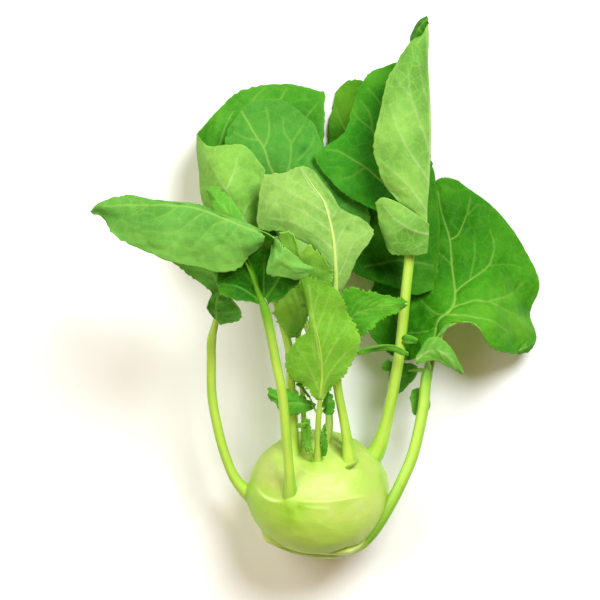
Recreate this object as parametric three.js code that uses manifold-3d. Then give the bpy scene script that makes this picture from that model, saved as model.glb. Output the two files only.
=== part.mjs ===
// A kohlrabi as picked: the swollen stem with its root end cut off, and the leaves that grow from it, lying on a
// table. Millimetres, +Z up. The origin is the middle of the small flat spot that the bulb rests on, +Y runs from
// the bulb towards the leaf tips, and the bulb's own axis rises from the table towards +Y.
import * as THREE from "three";
import { mergeVertices } from "three/addons/utils/BufferGeometryUtils.js";
import Module from "manifold-3d";

const wasm = await Module();
wasm.setup();

// ---------------------------------------------------------------- driving sizes

const BULB_RADIUS = 35; // across the axis
const BULB_HALF_HEIGHT = 28.5; // along the axis
const AXIS_RISE = THREE.MathUtils.degToRad(40); // the bulb's axis above the table
const BULB_CENTRE = new THREE.Vector3(0, -6.5, 31.9);
const ROOT_CUT = 21.5; // from the bulb's centre down its axis to the knife cut
const CUT_TILT = THREE.MathUtils.degToRad(5); // the cut leans this much to the side of the broad leaf
const BLADE = 0.8; // thickness of a leaf blade
const GAP = 0.3; // between pieces that touch

// The leaves are set out on a plan, drawn as the plant is seen from VIEW_HEIGHT above the plan's own level, so a
// point above that level is drawn a little larger. VIEW_FOOT is the point straight under the eye.
const PLAN_LEVEL = 32;
const VIEW_HEIGHT = 1500;
const VIEW_FOOT = { x: -9, y: 90 };

// ---------------------------------------------------------------- curves and solids

// A plan point and its height above the table, as a point in space.
function onPlan([x, y, z]) {
  const shrink = 1 - (z - PLAN_LEVEL) / VIEW_HEIGHT;
  return new THREE.Vector3(VIEW_FOOT.x + (x - VIEW_FOOT.x) * shrink, VIEW_FOOT.y + (y - VIEW_FOOT.y) * shrink, z);
}

const through = (points) => new THREE.CatmullRomCurve3(points, false, "catmullrom", 0.5);

function solidOf(geometry) {
  geometry.deleteAttribute("normal");
  geometry.deleteAttribute("uv");
  const merged = mergeVertices(geometry, 1e-4);
  return new wasm.Manifold(
    new wasm.Mesh({
      numProp: 3,
      vertProperties: merged.attributes.position.array,
      triVerts: new Uint32Array(merged.index.array),
    }),
  );
}

// The largest body of a solid, without the scraps that a cut can leave.
function wholeOf(solid) {
  return solid.decompose().reduce((most, body) => (body.volume() > most.volume() ? body : most));
}

function meshOf(name, solid, material) {
  const made = wholeOf(solid).getMesh();
  const geometry = new THREE.BufferGeometry();
  geometry.setAttribute("position", new THREE.BufferAttribute(new Float32Array(made.vertProperties), 3));
  geometry.setIndex(new THREE.BufferAttribute(new Uint32Array(made.triVerts), 1));
  geometry.computeVertexNormals();
  const mesh = new THREE.Mesh(geometry, material);
  mesh.name = name;
  return mesh;
}

// A closed round rod along a curve. radiusAt gives its radius at each share of its length.
function rod(curve, radiusAt, sides, steps) {
  const frames = curve.computeFrenetFrames(steps, false);
  const geometry = new THREE.CylinderGeometry(1, 1, 1, sides, steps);
  const place = geometry.attributes.position;
  for (let i = 0; i < place.count; i++) {
    const step = Math.round((0.5 - place.getY(i)) * steps);
    const share = step / steps;
    const radius = radiusAt(share);
    const point = curve
      .getPointAt(share)
      .addScaledVector(frames.normals[step], place.getX(i) * radius)
      .addScaledVector(frames.binormals[step], place.getZ(i) * radius);
    place.setXYZ(i, point.x, point.y, point.z);
  }
  const solid = solidOf(geometry);
  return solid.volume() < 0 ? solidOf(turnedOut(geometry)) : solid;
}

function turnedOut(geometry) {
  const index = geometry.index.array;
  for (let i = 0; i < index.length; i += 3) [index[i + 1], index[i + 2]] = [index[i + 2], index[i + 1]];
  return geometry;
}

// ---------------------------------------------------------------- leaves

// The middle surface of a blade as rows of points: curves run from the stalk to the rim, side by side, and each row
// joins them. The rim has teeth, and the blade ripples towards it.
function bladeRows({ lines: drawn, rows, across, tooth = 0.5, ripple = 0, ripples = 5 }) {
  const lines = drawn.map((points) => through(points.map(onPlan)));
  const grid = [];
  for (let i = 0; i <= rows; i++) {
    const row = through(lines.map((line) => line.getPoint(i / rows)));
    grid.push(Array.from({ length: across + 1 }, (_, j) => row.getPoint(j / across)));
  }
  const outward = (i, j, fromI, fromJ, amount) =>
    grid[i][j].clone().addScaledVector(grid[i][j].clone().sub(grid[fromI][fromJ]).normalize(), amount);
  for (let i = 1; i < rows; i++)
    for (const [edge, inner] of [[0, 1], [across, across - 1]])
      grid[i][edge] = outward(i, edge, i, inner, i % 2 ? tooth : -tooth / 2);
  for (let j = 0; j <= across; j++) grid[rows][j] = outward(rows, j, rows - 1, j, j % 2 ? tooth : -tooth / 2);
  const normals = normalsOf(grid);
  return grid.map((row, i) =>
    row.map((point, j) => {
      const fromMiddle = Math.abs((2 * j) / across - 1);
      const wave = ripple * fromMiddle ** 2 * Math.sin((i / rows) * ripples * 2 * Math.PI + (j > across / 2 ? 1 : 0));
      return point.clone().addScaledVector(normals[i][j], wave);
    }),
  );
}

function normalsOf(grid) {
  const at = (i, j) => grid[Math.max(0, Math.min(grid.length - 1, i))][Math.max(0, Math.min(grid[0].length - 1, j))];
  return grid.map((row, i) =>
    row.map((_, j) => {
      const down = at(i + 1, j).clone().sub(at(i - 1, j));
      const over = at(i, j + 1).clone().sub(at(i, j - 1));
      return over.cross(down).normalize();
    }),
  );
}

// A blade as a closed sheet, with both faces split into triangles alike.
function sheet(grid, thickness) {
  const normals = normalsOf(grid);
  const rows = grid.length;
  const across = grid[0].length;
  const points = [];
  for (const side of [0.5, -0.5])
    grid.forEach((row, i) =>
      row.forEach((point, j) => points.push(point.clone().addScaledVector(normals[i][j], side * thickness))),
    );
  const at = (face, i, j) => face * rows * across + i * across + j;
  const index = [];
  for (let i = 0; i + 1 < rows; i++)
    for (let j = 0; j + 1 < across; j++) {
      index.push(at(0, i, j), at(0, i + 1, j), at(0, i, j + 1), at(0, i, j + 1), at(0, i + 1, j), at(0, i + 1, j + 1));
      index.push(at(1, i, j), at(1, i, j + 1), at(1, i + 1, j), at(1, i, j + 1), at(1, i + 1, j + 1), at(1, i + 1, j));
    }
  const rim = [];
  for (let j = 0; j + 1 < across; j++) rim.push([0, j, 0, j + 1], [rows - 1, j + 1, rows - 1, j]);
  for (let i = 0; i + 1 < rows; i++) rim.push([i + 1, 0, i, 0], [i, across - 1, i + 1, across - 1]);
  for (const [i, j, k, l] of rim)
    index.push(at(0, i, j), at(0, k, l), at(1, i, j), at(0, k, l), at(1, k, l), at(1, i, j));
  const geometry = new THREE.BufferGeometry().setFromPoints(points);
  geometry.setIndex(index);
  const solid = solidOf(geometry);
  return solid.volume() < 0 ? solidOf(turnedOut(geometry)) : solid;
}

// The line of a leaf's rib, close along one face of its blade: side is 1 on the upper face and -1 on the lower.
function ribLine(grid, column, radius, side) {
  const normals = normalsOf(grid);
  const last = Math.round((grid.length - 1) * 0.85);
  const points = [];
  for (let i = 1; i <= last; i += 2) {
    const up = normals[i][column].z > 0 ? side : -side;
    const away = BLADE / 2 + 2 * GAP + radius * (1 - (0.6 * i) / last);
    points.push(grid[i][column].clone().addScaledVector(normals[i][column], up * away));
  }
  return points;
}

// A leaf is a stalk that runs on as the rib of its first sheet, and a blade of one or more sheets that grow together.
// thick is the stalk's thickness at its foot and at the blade; the rib tapers on from there. A stalk with a taper
// starts thin and reaches its full thickness at that share of its length.
function leaf({ stalk, thick, flare = 0.9, taper = 0, sheets, ribColumn, ribSide }) {
  const grids = sheets.map(bladeRows);
  const column = ribColumn ?? Math.round((grids[0][0].length - 1) / 2);
  const line = through([...stalk.map(onPlan), ...ribLine(grids[0], column, thick[1] / 2, ribSide)]);
  const atBlade = through(stalk.map(onPlan)).getLength() / line.getLength();
  const widthAt = (share) => {
    const base = thick[0] * flare * Math.exp(-((share / 0.07) ** 2));
    const grown = share < taper ? 0.3 + (0.7 * share) / taper : 1;
    if (share < atBlade) return base + grown * (thick[0] + ((thick[1] - thick[0]) * share) / atBlade);
    return base + thick[1] * (1 - (0.6 * (share - atBlade)) / (1 - atBlade));
  };
  const steps = Math.max(8, Math.round(line.getLength() / 8));
  const made = (growth) => rod(line, (share) => widthAt(share) / 2 + growth, 8, steps);
  const blade = grids.map((grid) => sheet(grid, BLADE)).reduce((whole, next) => whole.add(next));
  return { stalk: made(0), blade: blade.subtract(made(GAP)) };
}

// ---------------------------------------------------------------- the plan
// Every line of a sheet runs from the stalk to the far rim, and the lines lie side by side across the blade.

const LEAVES = {
  // The tall leaf in front, bent over to the left so that its near half hangs as a broad flap.
  front_left: {
    stalk: [
      [-14, -11, 58], [-14.2, 0, 63], [-16, 23, 72.5], [-17.8, 42.5, 80], [-20.5, 56, 85], [-23.8, 73, 91],
      [-26.5, 85, 95],
    ],
    thick: [5, 4.6],
    ribColumn: 4,
    ribSide: 1,
    sheets: [
      {
        lines: [
          [[-29.5, 88, 97.5], [-39.5, 90, 101], [-49.5, 92.5, 104]],
          [[-30, 89.8, 96.8], [-40, 97.5, 98], [-50.5, 102, 101]],
          [[-30, 91.5, 96.5], [-38, 107, 100], [-47, 120, 110]],
          [[-28.5, 92, 96.5], [-31.5, 102, 98], [-34.8, 111, 103], [-39, 124, 113]],
          [[-27, 91.5, 96.5], [-27, 108, 98], [-27, 124, 111]],
          [[-25.5, 90, 97], [-17.5, 102.5, 100], [-11, 110.5, 105]],
          [[-25, 88, 97.5], [-16.5, 92, 101], [-8.5, 100, 104]],
        ],
        rows: 8,
        across: 9,
      },
      {
        lines: [
          [
            [-28, 124.5, 108], [-44, 130.5, 110], [-61, 136.7, 110.5], [-80.8, 139.2, 110.5], [-96.6, 142.3, 109.5],
            [-101, 141, 107.5], [-108, 138, 107],
          ],
          [
            [-26.5, 122.5, 116], [-32, 125.8, 116], [-44.5, 130, 115.5], [-56, 134.5, 115.5], [-69.3, 137.3, 115],
            [-82.5, 137.3, 114.5], [-98.7, 137.6, 113], [-110, 137.3, 111.5], [-113.6, 134.5, 109],
          ],
          [
            [-27, 119.5, 115], [-36, 118, 116], [-50, 119.5, 115.5], [-63, 121.5, 115.5], [-80, 124.5, 114.5],
            [-95, 128.5, 112.5], [-106, 132.5, 110], [-113, 134.2, 109],
          ],
          [
            [-28, 117.5, 112], [-33.5, 113.5, 110.5], [-38, 106.8, 109.5], [-48, 103.8, 109.5], [-61.8, 106.3, 110.5],
            [-75, 110, 110.5], [-90, 115.9, 110.5], [-101.6, 122.3, 110], [-107, 130, 109], [-112.5, 134, 108.5],
          ],
        ],
        rows: 18,
        across: 9,
        ripple: 0.6,
      },
      {
        lines: [
          [[-22.4, 122, 107.5], [-18.4, 117.8, 115.5], [-13.1, 113.5, 114.5], [-7.8, 109.3, 112], [-2.7, 106, 110]],
          [[-22.8, 121, 107], [-19.5, 114, 116], [-15, 109, 114.5], [-9, 106, 114], [-2.9, 105.3, 110]],
          [[-23.2, 119.8, 106], [-22.3, 111, 114.5], [-19.5, 106, 113.5], [-12, 103.5, 112], [-3.3, 104.6, 110]],
          [
            [-23.6, 118.6, 105], [-24.2, 110.5, 111.5], [-24.8, 103, 111], [-17.4, 101, 111], [-9, 100.6, 109],
            [-3.9, 104, 109.5],
          ],
        ],
        rows: 8,
        across: 5,
      },
    ],
  },
  // The leaf at the left, whose blade is mostly under the flap of the front one.
  left: {
    stalk: [
      [-32, -9, 31], [-41, 0, 35], [-46.5, 12.5, 39], [-50.5, 27.5, 43], [-53, 42.5, 47], [-53.3, 60, 52],
      [-53, 71, 57],
    ],
    thick: [5, 4.6],
    ribSide: -1,
    sheets: [
      {
        lines: [
          [[-53, 82, 63], [-55.7, 87.5, 65], [-53, 93.5, 66], [-62, 100.5, 72], [-74, 110, 79]],
          [[-52, 81, 62.5], [-53.3, 88, 64], [-52, 95, 66.5], [-59, 105, 73], [-74, 117, 80]],
          [[-51, 80, 62], [-50.8, 89, 64], [-50.5, 97, 68], [-56, 109, 74.5], [-73, 123, 81.5]],
          [[-50, 79, 62.5], [-45.5, 85, 65], [-47.5, 95.5, 68.5], [-51, 109, 75], [-71, 127, 83]],
          [[-49, 77.5, 63], [-38.5, 81, 67], [-43.5, 93, 69], [-44, 104, 73], [-68, 131, 84]],
        ],
        rows: 16,
        across: 8,
        tooth: 0.4,
        ripple: 0.5,
      },
    ],
  },
  // The upper left leaf: its far half lies low, and its near half is folded forwards over it.
  upper_left: {
    stalk: [[-12.5, 13, 48], [-12.5, 30, 51], [-13.5, 47.5, 54], [-14.5, 65, 56], [-17.5, 77.5, 57], [-23, 95, 56]],
    thick: [4.6, 4],
    ribSide: 1,
    sheets: [
      {
        lines: [
          [[-37, 121, 47], [-56, 135.5, 45], [-59.5, 155, 40], [-60.5, 173, 30]],
          [[-35.5, 123, 52], [-48, 141, 55], [-54, 157.5, 51], [-55, 167, 42]],
          [[-34, 124, 54], [-43.5, 142.5, 59], [-44, 157.5, 57], [-45, 167.5, 50]],
          [[-32, 124.5, 53], [-36, 140, 57], [-36, 155, 56], [-36, 166.5, 51]],
          [[-30, 124, 51], [-30, 137.5, 52], [-27.5, 146.5, 51], [-26.5, 154.5, 49]],
        ],
        rows: 10,
        across: 8,
        tooth: 0.3,
      },
      {
        lines: [
          [
            [-37, 121, 47], [-50, 130, 46], [-57, 141, 44], [-59.5, 155, 40], [-60.5, 165, 34],
            [-60.5, 173, 30],
          ],
          [
            [-36, 120, 46.5], [-39, 126, 35], [-46, 140, 28], [-50, 155, 24], [-52, 167.5, 17],
            [-49.5, 185.5, 6],
          ],
          [
            [-35, 119.5, 46], [-32, 125, 30], [-34, 140, 22], [-34, 155, 20], [-36.5, 175, 10],
            [-37.5, 195, 1.5],
          ],
          [
            [-33.5, 119, 46], [-27, 123, 26], [-18, 135, 19], [-16.5, 155, 16], [-16.5, 177.5, 8],
            [-16, 198, 0.6],
          ],
          [
            [-32, 118.5, 46], [-24, 121, 26], [-5, 129, 18], [1, 152, 14], [3, 172, 10],
            [3.5, 194, 4],
          ],
        ],
        rows: 16,
        across: 9,
        ripple: 1,
      },
    ],
  },
  // The leaf that stands between the two halves of the upper left one.
  upper_middle: {
    stalk: [[4, 18, 42], [5.5, 32.5, 40], [0, 60, 35], [-8, 85, 30]],
    thick: [3.4, 3.4],
    flare: 0.5,
    ribSide: -1,
    sheets: [
      {
        lines: [
          [[-13, 100, 31], [-20, 122, 33], [-39, 150, 33.5], [-46, 167, 28], [-45, 175, 25]],
          [[-12, 100, 30.5], [-16, 124, 32.5], [-31, 151, 33.5], [-39, 169, 29.5], [-40, 182, 24]],
          [[-11, 100, 30.5], [-12, 125, 32], [-22, 152.5, 32.5], [-29, 171, 29], [-33, 189, 21]],
          [[-10, 100, 30.5], [0, 120, 32], [0, 145, 33], [-10, 168, 29], [-18, 190, 20]],
          [[-9, 100, 31], [13.5, 114, 31], [26, 131, 30], [7, 160, 27], [-3, 179, 21]],
        ],
        rows: 16,
        across: 10,
        ripple: 0.8,
      },
    ],
  },
  // The pale leaf in the middle, seen from its underside.
  middle: {
    stalk: [
      [16, 8, 50], [15, 17, 53], [13, 29.5, 57], [10.5, 42, 61], [9, 52, 64], [8.5, 66, 69], [8.5, 80, 73],
    ],
    thick: [4.8, 4],
    ribSide: 1,
    sheets: [
      {
        lines: [
          [
            [6.5, 95, 74], [1.5, 110, 74.5], [-9, 119.5, 74], [-18, 124.3, 72.5], [-29, 125.8, 69], [-30, 140, 66],
            [-26.5, 152.8, 64],
          ],
          [[7.5, 95, 75], [3, 112, 77.5], [-8, 127, 77.5], [-17, 136, 75], [-20.5, 144, 72], [-17.5, 153.5, 68]],
          [[9, 95, 75], [8.5, 112, 78.5], [7, 125, 79.5], [3, 139, 79], [-2.5, 147, 76], [-8.5, 156.8, 71]],
          [[10.5, 95, 75], [14.5, 113, 77.5], [16.5, 124, 76.5], [12.5, 133, 76], [5, 142, 74], [-2.8, 155, 70]],
          [[12, 95, 74], [20.6, 111.8, 74], [27.8, 124.5, 70], [21, 130.5, 72], [10.5, 136.6, 74], [1.2, 151.3, 69]],
        ],
        rows: 16,
        across: 8,
        ripple: 0.5,
      },
    ],
  },
  // A small toothed leaf behind the front ones.
  small_back: {
    stalk: [[-7, 18, 45], [-7.5, 40, 49], [-9.5, 60, 54]],
    thick: [2.6, 2.4],
    ribSide: -1,
    sheets: [
      {
        lines: [
          [[-13, 71, 60], [-22, 82, 63], [-19, 93, 69], [-20, 108, 77], [-19, 124.4, 84]],
          [[-12.2, 71, 60.2], [-15, 82, 64.5], [-13.5, 93, 71], [-13.5, 108, 79], [-12.5, 123, 85]],
          [[-11.4, 71, 60.4], [-10.5, 82, 65], [-9.5, 93, 72], [-9, 104, 78.5], [-8.8, 113.3, 82.5]],
          [[-10.6, 71, 60.4], [-8.5, 82, 65], [-6, 93, 72.5], [-5, 105, 80], [-4.5, 116.8, 85]],
          [[-9.8, 71, 60.2], [-7, 81.5, 65], [-3, 92, 73], [1, 102, 79.5], [1, 113.4, 84]],
          [[-9, 71, 60], [-5.5, 81, 65], [-0.5, 91, 73], [6.3, 98.5, 80], [6.8, 104, 81.5], [3.5, 111.8, 83.5]],
        ],
        rows: 14,
        across: 7,
        tooth: 0.9,
      },
    ],
  },
  // The tall leaf at the right, folded along its rib: the near half shows its pale underside.
  tall_right: {
    stalk: [
      [23, 8, 27], [29, 14, 29], [33, 25, 32.5], [36, 37.5, 36], [38.5, 50, 38.5], [41, 65, 41], [42.5, 79, 43],
      [44.3, 98, 45],
    ],
    thick: [6.2, 5],
    ribColumn: 5,
    ribSide: -1,
    sheets: [
      {
        lines: [
          [
            [50, 133, 53.5], [40.8, 139.6, 54], [34, 146, 54], [30.5, 156, 55], [27.5, 165.3, 56], [29.5, 177, 57],
            [32, 190, 57], [36, 202.5, 56], [42.4, 214.3, 54], [48.2, 220, 52], [54.2, 226, 50.5],
          ],
          [[51.5, 129, 53.4], [44, 142, 57], [38, 165, 60], [39, 190, 60], [46, 212, 57], [54.4, 227, 51]],
          [[53, 123, 53.2], [50, 142, 57], [47.5, 165, 60], [48, 190, 59], [51, 212, 56], [54.7, 228, 51]],
          [
            [54.6, 116, 52.6], [54.5, 135.5, 53], [55.5, 148, 53], [56.3, 170, 53], [56, 190, 52.5], [55, 208, 51.5],
            [55.3, 220, 51], [54.9, 229.5, 50],
          ],
        ],
        rows: 16,
        across: 7,
        tooth: 0.3,
      },
      {
        lines: [
          [[54.6, 113.5, 52.5], [45.7, 112.3, 53], [37.4, 113, 52.5], [33.5, 120, 52]],
          [[55, 117, 53], [46, 120, 56], [37, 122, 55.5], [31, 126, 53]],
          [[55.4, 122, 53], [47, 127.5, 58], [38, 132, 57.5], [29.5, 134.7, 54.5]],
          [[55.6, 128, 53], [49, 133, 57], [40.5, 138.5, 58], [32.5, 141.3, 57], [28.7, 138.8, 55.5]],
        ],
        rows: 7,
        across: 6,
        tooth: 0.3,
      },
      {
        lines: [
          [
            [54.6, 116, 52.6], [54.5, 135.5, 53], [55.5, 148, 53], [56.3, 170, 53], [56, 190, 52.5], [55, 208, 51.5],
            [55.3, 220, 51], [54.9, 229.5, 50],
          ],
          [[42, 124, 42], [42, 137.5, 41.5], [41, 165, 41], [41, 192.5, 41], [45, 209, 43], [52, 221, 46.5]],
          [
            [35, 130, 38], [27, 142, 37.5], [20, 152, 36.5], [14, 162, 35], [21, 176, 34], [26, 190, 35],
            [34, 201, 37], [46, 211.5, 42],
          ],
          [
            [27.5, 136, 37], [18.4, 139.8, 37], [12.5, 143.8, 36.5], [5, 151.3, 36], [-1.5, 161, 34],
            [5, 167.8, 33], [14, 174.3, 32], [17.5, 188.6, 32], [22.9, 199.3, 33], [27.5, 204.7, 35], [38.5, 207.5, 38],
          ],
        ],
        rows: 18,
        across: 7,
        ripple: 0.5,
      },
    ],
  },
  // The low leaf under the tall right one.
  low_right: {
    stalk: [
      [24, 6, 20], [29, 15, 18], [33.5, 27, 20], [36.5, 40, 24], [38.8, 52, 28], [41, 66, 31.5], [42.8, 82, 33.5],
    ],
    thick: [4, 3.6],
    ribColumn: 5,
    ribSide: -1,
    sheets: [
      {
        lines: [
          [[17, 104, 28], [17, 127.5, 22], [7, 155, 10], [5.5, 176, 3], [9, 194, 1]],
          [[26, 100, 30], [28.5, 127.5, 25], [22, 155, 16], [16, 177.5, 7], [15, 199.5, 1.5]],
          [[37, 96.5, 33], [41, 127.5, 27], [38.5, 155, 20], [33.5, 177.5, 11], [23, 199, 4]],
          [[48, 92.5, 31], [51, 127.5, 25], [50, 155, 18], [43.5, 175, 12], [32, 193, 7]],
          [[57.5, 95, 29], [60.2, 110, 25], [60.2, 135.5, 20], [56.5, 161, 16], [50, 173, 12.5], [38, 186, 9]],
        ],
        rows: 16,
        across: 8,
        ripple: 0.6,
      },
    ],
  },
  // The broad leaf at the right, which touches the table with its outer rim.
  broad_right: {
    stalk: [
      [-23.5, -31.3, 35.5], [-12, -35.2, 36], [0, -36.5, 36.3], [10, -35.9, 36.8], [18, -33.9, 37.5],
      [24, -29.7, 38],
      [30.5, -21.5, 39], [38, -8.5, 39], [44, 4, 39], [47.5, 13, 39], [50.5, 25, 39], [52.8, 38, 39],
      [54.5, 52.5, 39],
    ],
    thick: [6.4, 5.6],
    flare: 0,
    taper: 0.14,
    ribSide: -1,
    sheets: [
      {
        lines: [
          [
            [53, 62, 44], [44, 60, 30], [33.3, 65, 24.5], [25, 75, 21.5], [25.6, 90, 17], [33.5, 112.5, 11],
            [43.5, 129, 7], [57, 148, 4],
          ],
          [
            [54.5, 64.5, 44], [47, 70, 32], [42, 82.5, 24.5], [43.5, 99, 18], [48.5, 115, 13], [53.5, 130, 8],
            [59, 149.5, 4],
          ],
          [
            [56.5, 67, 43.5], [60, 79, 40], [67, 88.5, 33], [68.5, 101, 24], [66.5, 116, 16], [64.5, 131, 10],
            [62, 151, 4],
          ],
          [
            [58.5, 70, 44], [70, 79.5, 44], [86, 81, 38], [92, 95, 22], [86, 112.5, 12], [77, 130, 8],
            [66, 151, 3],
          ],
          [
            [60, 73, 44], [66, 79, 44.5], [79, 77, 45], [88, 66, 41], [99, 63.2, 24], [108.3, 68.5, 12],
            [106.3, 83, 4], [110.3, 98, 0.6], [103, 116.5, 0.6], [86.4, 137.2, 0.8], [70, 149.7, 2],
          ],
        ],
        rows: 18,
        across: 10,
        ripple: 0.8,
      },
    ],
  },
  // The small toothed leaf in front, seen from its underside.
  small_front: {
    stalk: [[0, 10, 53], [0, 23, 61], [0.5, 34, 68]],
    thick: [3.4, 2.8],
    ribSide: 1,
    sheets: [
      {
        lines: [
          [
            [-0.5, 40, 71.5], [-7, 46.5, 73], [-13.5, 51, 74.5], [-16.2, 61, 76], [-10.5, 70.8, 79],
            [-3.8, 73, 81.5], [-5, 84, 84], [-8.5, 92, 87], [-10, 97.7, 89],
          ],
          [
            [1, 40.5, 73], [2, 52.5, 77], [1.5, 62.5, 81], [0, 71.5, 84], [-2.5, 82.5, 87], [-4.5, 94, 90],
            [-5.2, 101.5, 91],
          ],
          [
            [2.5, 40, 72], [9, 48.5, 73], [15.5, 56, 74.5], [20.5, 66, 76], [19.8, 75, 77.5], [15, 84, 80],
            [11.5, 92, 84], [5.5, 98.5, 88],
          ],
        ],
        rows: 22,
        across: 6,
        tooth: 0.7,
      },
    ],
  },
  // The small leaf at the right of the front one.
  small_right: {
    stalk: [[14.2, 15, 44], [13, 28, 47], [11, 42, 50], [10.6, 58, 55]],
    thick: [2.8, 2.4],
    flare: 0.5,
    ribSide: -1,
    sheets: [
      {
        lines: [
          [[11, 70, 62], [12, 94, 68], [27, 94, 66], [43.5, 90, 60]],
          [[12.5, 68.5, 62], [17, 81, 66], [28.5, 86.5, 64], [44.5, 88, 60]],
          [[14.5, 67, 61], [22, 72, 62], [33.5, 81, 61], [43, 85.5, 59]],
        ],
        rows: 14,
        across: 6,
        tooth: 0.8,
      },
    ],
  },
};

// The leaflets and torn lobes that have no stalk of their own.
const LEAFLETS = {
  curled_lobe: {
    lines: [
      [[19.5, 65, 58], [28.5, 67.5, 56], [37, 67, 54], [45, 64.5, 52]],
      [[20, 62.5, 57], [28.5, 64, 54], [37.5, 64.5, 51.5], [45.5, 62, 50.5]],
    ],
    rows: 8,
    across: 2,
    tooth: 0.3,
  },
  crown_lobe: {
    lines: [
      [[-1, 38, 63], [-8, 42, 65.5], [-15, 44.8, 66.5], [-25, 45.8, 66]],
      [[-1.2, 36.8, 63.5], [-10, 38.5, 66.5], [-17, 39.5, 67], [-25, 43.5, 65.5]],
      [[-1.5, 35.8, 62.5], [-8, 33.8, 64.5], [-14.5, 32.5, 65.5], [-20, 35.8, 65], [-24, 41.5, 64]],
    ],
    rows: 8,
    across: 4,
    tooth: 0.8,
  },
  crown_leaflet: {
    lines: [
      [[-6, 14, 57], [-8, 21, 59], [-7, 30, 61]],
      [[-4, 14.5, 58], [-5.5, 22, 60], [-5, 31, 61.5]],
      [[-2.6, 15, 57.5], [-3.4, 22, 59.5], [-4, 30, 61.5]],
    ],
    rows: 6,
    across: 2,
    tooth: 0.5,
  },
  upper_leaflet: {
    lines: [
      [[-38, 121, 70], [-50, 133, 69], [-55, 142, 67]],
      [[-36, 122, 72], [-46.5, 136, 71], [-55.5, 145, 68]],
      [[-34, 124, 70], [-43, 140, 69], [-50.5, 147, 67]],
    ],
    rows: 8,
    across: 4,
    tooth: 0.9,
  },
  ear_lobe: {
    lines: [
      [[49, 62, 47.5], [56, 71, 50], [64, 69, 50], [73, 54, 46.5]],
      [[49, 60, 48], [57, 65, 51], [64.5, 62, 50.5], [72.5, 53, 46.5]],
      [[49, 58, 47.5], [57, 59.5, 50], [65, 57, 48.5], [71.5, 52.5, 46]],
    ],
    rows: 8,
    across: 4,
    tooth: 0.3,
  },
  lower_lobe: {
    lines: [
      [[49.5, 57, 35], [44, 58.5, 26], [36.5, 55, 22]],
      [[49, 54.5, 34], [43.5, 52, 26], [35.5, 50, 21]],
      [[48.5, 51.5, 34], [45, 47, 27], [40.5, 43, 22]],
    ],
    rows: 6,
    across: 4,
    tooth: 0.5,
  },
  stalk_leaflet: {
    lines: [
      [[47, 45, 34.5], [46, 40, 33.5], [48, 33, 33.5]],
      [[51, 46, 35], [51, 39, 34.5], [51, 32, 34.5]],
      [[54.5, 44, 34.5], [56, 38.5, 34], [54.5, 32, 34]],
    ],
    rows: 6,
    across: 4,
    tooth: 0.3,
  },
};

// ---------------------------------------------------------------- the bulb

const AXIS = new THREE.Vector3(0, Math.cos(AXIS_RISE), Math.sin(AXIS_RISE));
const FRONT = new THREE.Vector3(0, -Math.sin(AXIS_RISE), Math.cos(AXIS_RISE));

// Old leaf scars: each is a shelf that runs partly round the bulb. Heights are shares of the half height along the
// axis, and angles are measured round it from the front, in degrees.
const SCARS = [
  { height: 0.62, from: -72, to: 56, droop: 0.13, proud: 1.1 },
  { height: 0.9, from: -50, to: 70, droop: 0.03, proud: 0.7 },
  { height: -0.4, from: -70, to: 50, droop: -0.3, proud: 0.8 },
  { height: 0.25, from: 95, to: 215, droop: 0.12, proud: 1 },
];

function scarRise(height, angle) {
  return SCARS.reduce((sum, scar) => {
    const middle = (scar.from + scar.to) / 2;
    const half = (scar.to - scar.from) / 2;
    const turn = ((angle - middle + 540) % 360) - 180;
    const off = turn / half;
    if (Math.abs(off) > 1.15) return sum;
    const below = scar.height - scar.droop * off ** 2 - height;
    const fade = Math.min(1, (1.15 - Math.abs(off)) / 0.3);
    return sum + scar.proud * fade * (below > 0 ? Math.exp(-below / 0.12) : Math.exp(-((below / 0.04) ** 2)));
  }, 0);
}

function bulb(growth) {
  const geometry = new THREE.SphereGeometry(1, 46, 32);
  const place = geometry.attributes.position;
  for (let i = 0; i < place.count; i++) {
    const unit = new THREE.Vector3().fromBufferAttribute(place, i);
    const angle = Math.hypot(unit.x, unit.z) > 1e-6 ? THREE.MathUtils.radToDeg(Math.atan2(unit.x, unit.z)) : 0;
    const onPole = Math.abs(unit.y) > 0.999;
    const grown = growth + (onPole ? 0 : scarRise(unit.y, angle));
    const crown = 1 - 0.06 * Math.max(0, unit.y - 0.8) * 5;
    const point = BULB_CENTRE.clone()
      .addScaledVector(new THREE.Vector3(1, 0, 0), unit.x * (BULB_RADIUS + grown))
      .addScaledVector(FRONT, unit.z * (BULB_RADIUS + grown))
      .addScaledVector(AXIS, unit.y * (BULB_HALF_HEIGHT * crown + grown));
    place.setXYZ(i, point.x, point.y, point.z);
  }
  return solidOf(geometry);
}

// The knife cut that took off the root, and the table top.
function trimmed(solid, growth = 0) {
  const up = AXIS.clone().applyAxisAngle(FRONT, CUT_TILT);
  const level = up.dot(BULB_CENTRE) - ROOT_CUT;
  return solid.trimByPlane(up.toArray(), level - growth).trimByPlane([0, 0, 1], 0);
}

// ---------------------------------------------------------------- the plant

const skin = (color, roughness) => new THREE.MeshStandardMaterial({ color, roughness, metalness: 0 });
const BULB_SKIN = skin("#d3e89a", 0.45);
const STALK_SKIN = skin("#a8d65a", 0.45);
const LEAF_SKIN = skin("#5aa53c", 0.55);

const kohlrabi = new THREE.Group();
kohlrabi.name = "kohlrabi";
kohlrabi.add(meshOf("bulb", trimmed(bulb(0)), BULB_SKIN));

const round = bulb(GAP);
for (const [name, plan] of Object.entries(LEAVES)) {
  const made = leaf(plan);
  kohlrabi.add(meshOf(`${name}_stalk`, trimmed(made.stalk.subtract(round)), STALK_SKIN));
  kohlrabi.add(meshOf(`${name}_blade`, trimmed(made.blade), LEAF_SKIN));
}
for (const [name, plan] of Object.entries(LEAFLETS))
  kohlrabi.add(meshOf(name, sheet(bladeRows(plan), BLADE), LEAF_SKIN));

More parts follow.
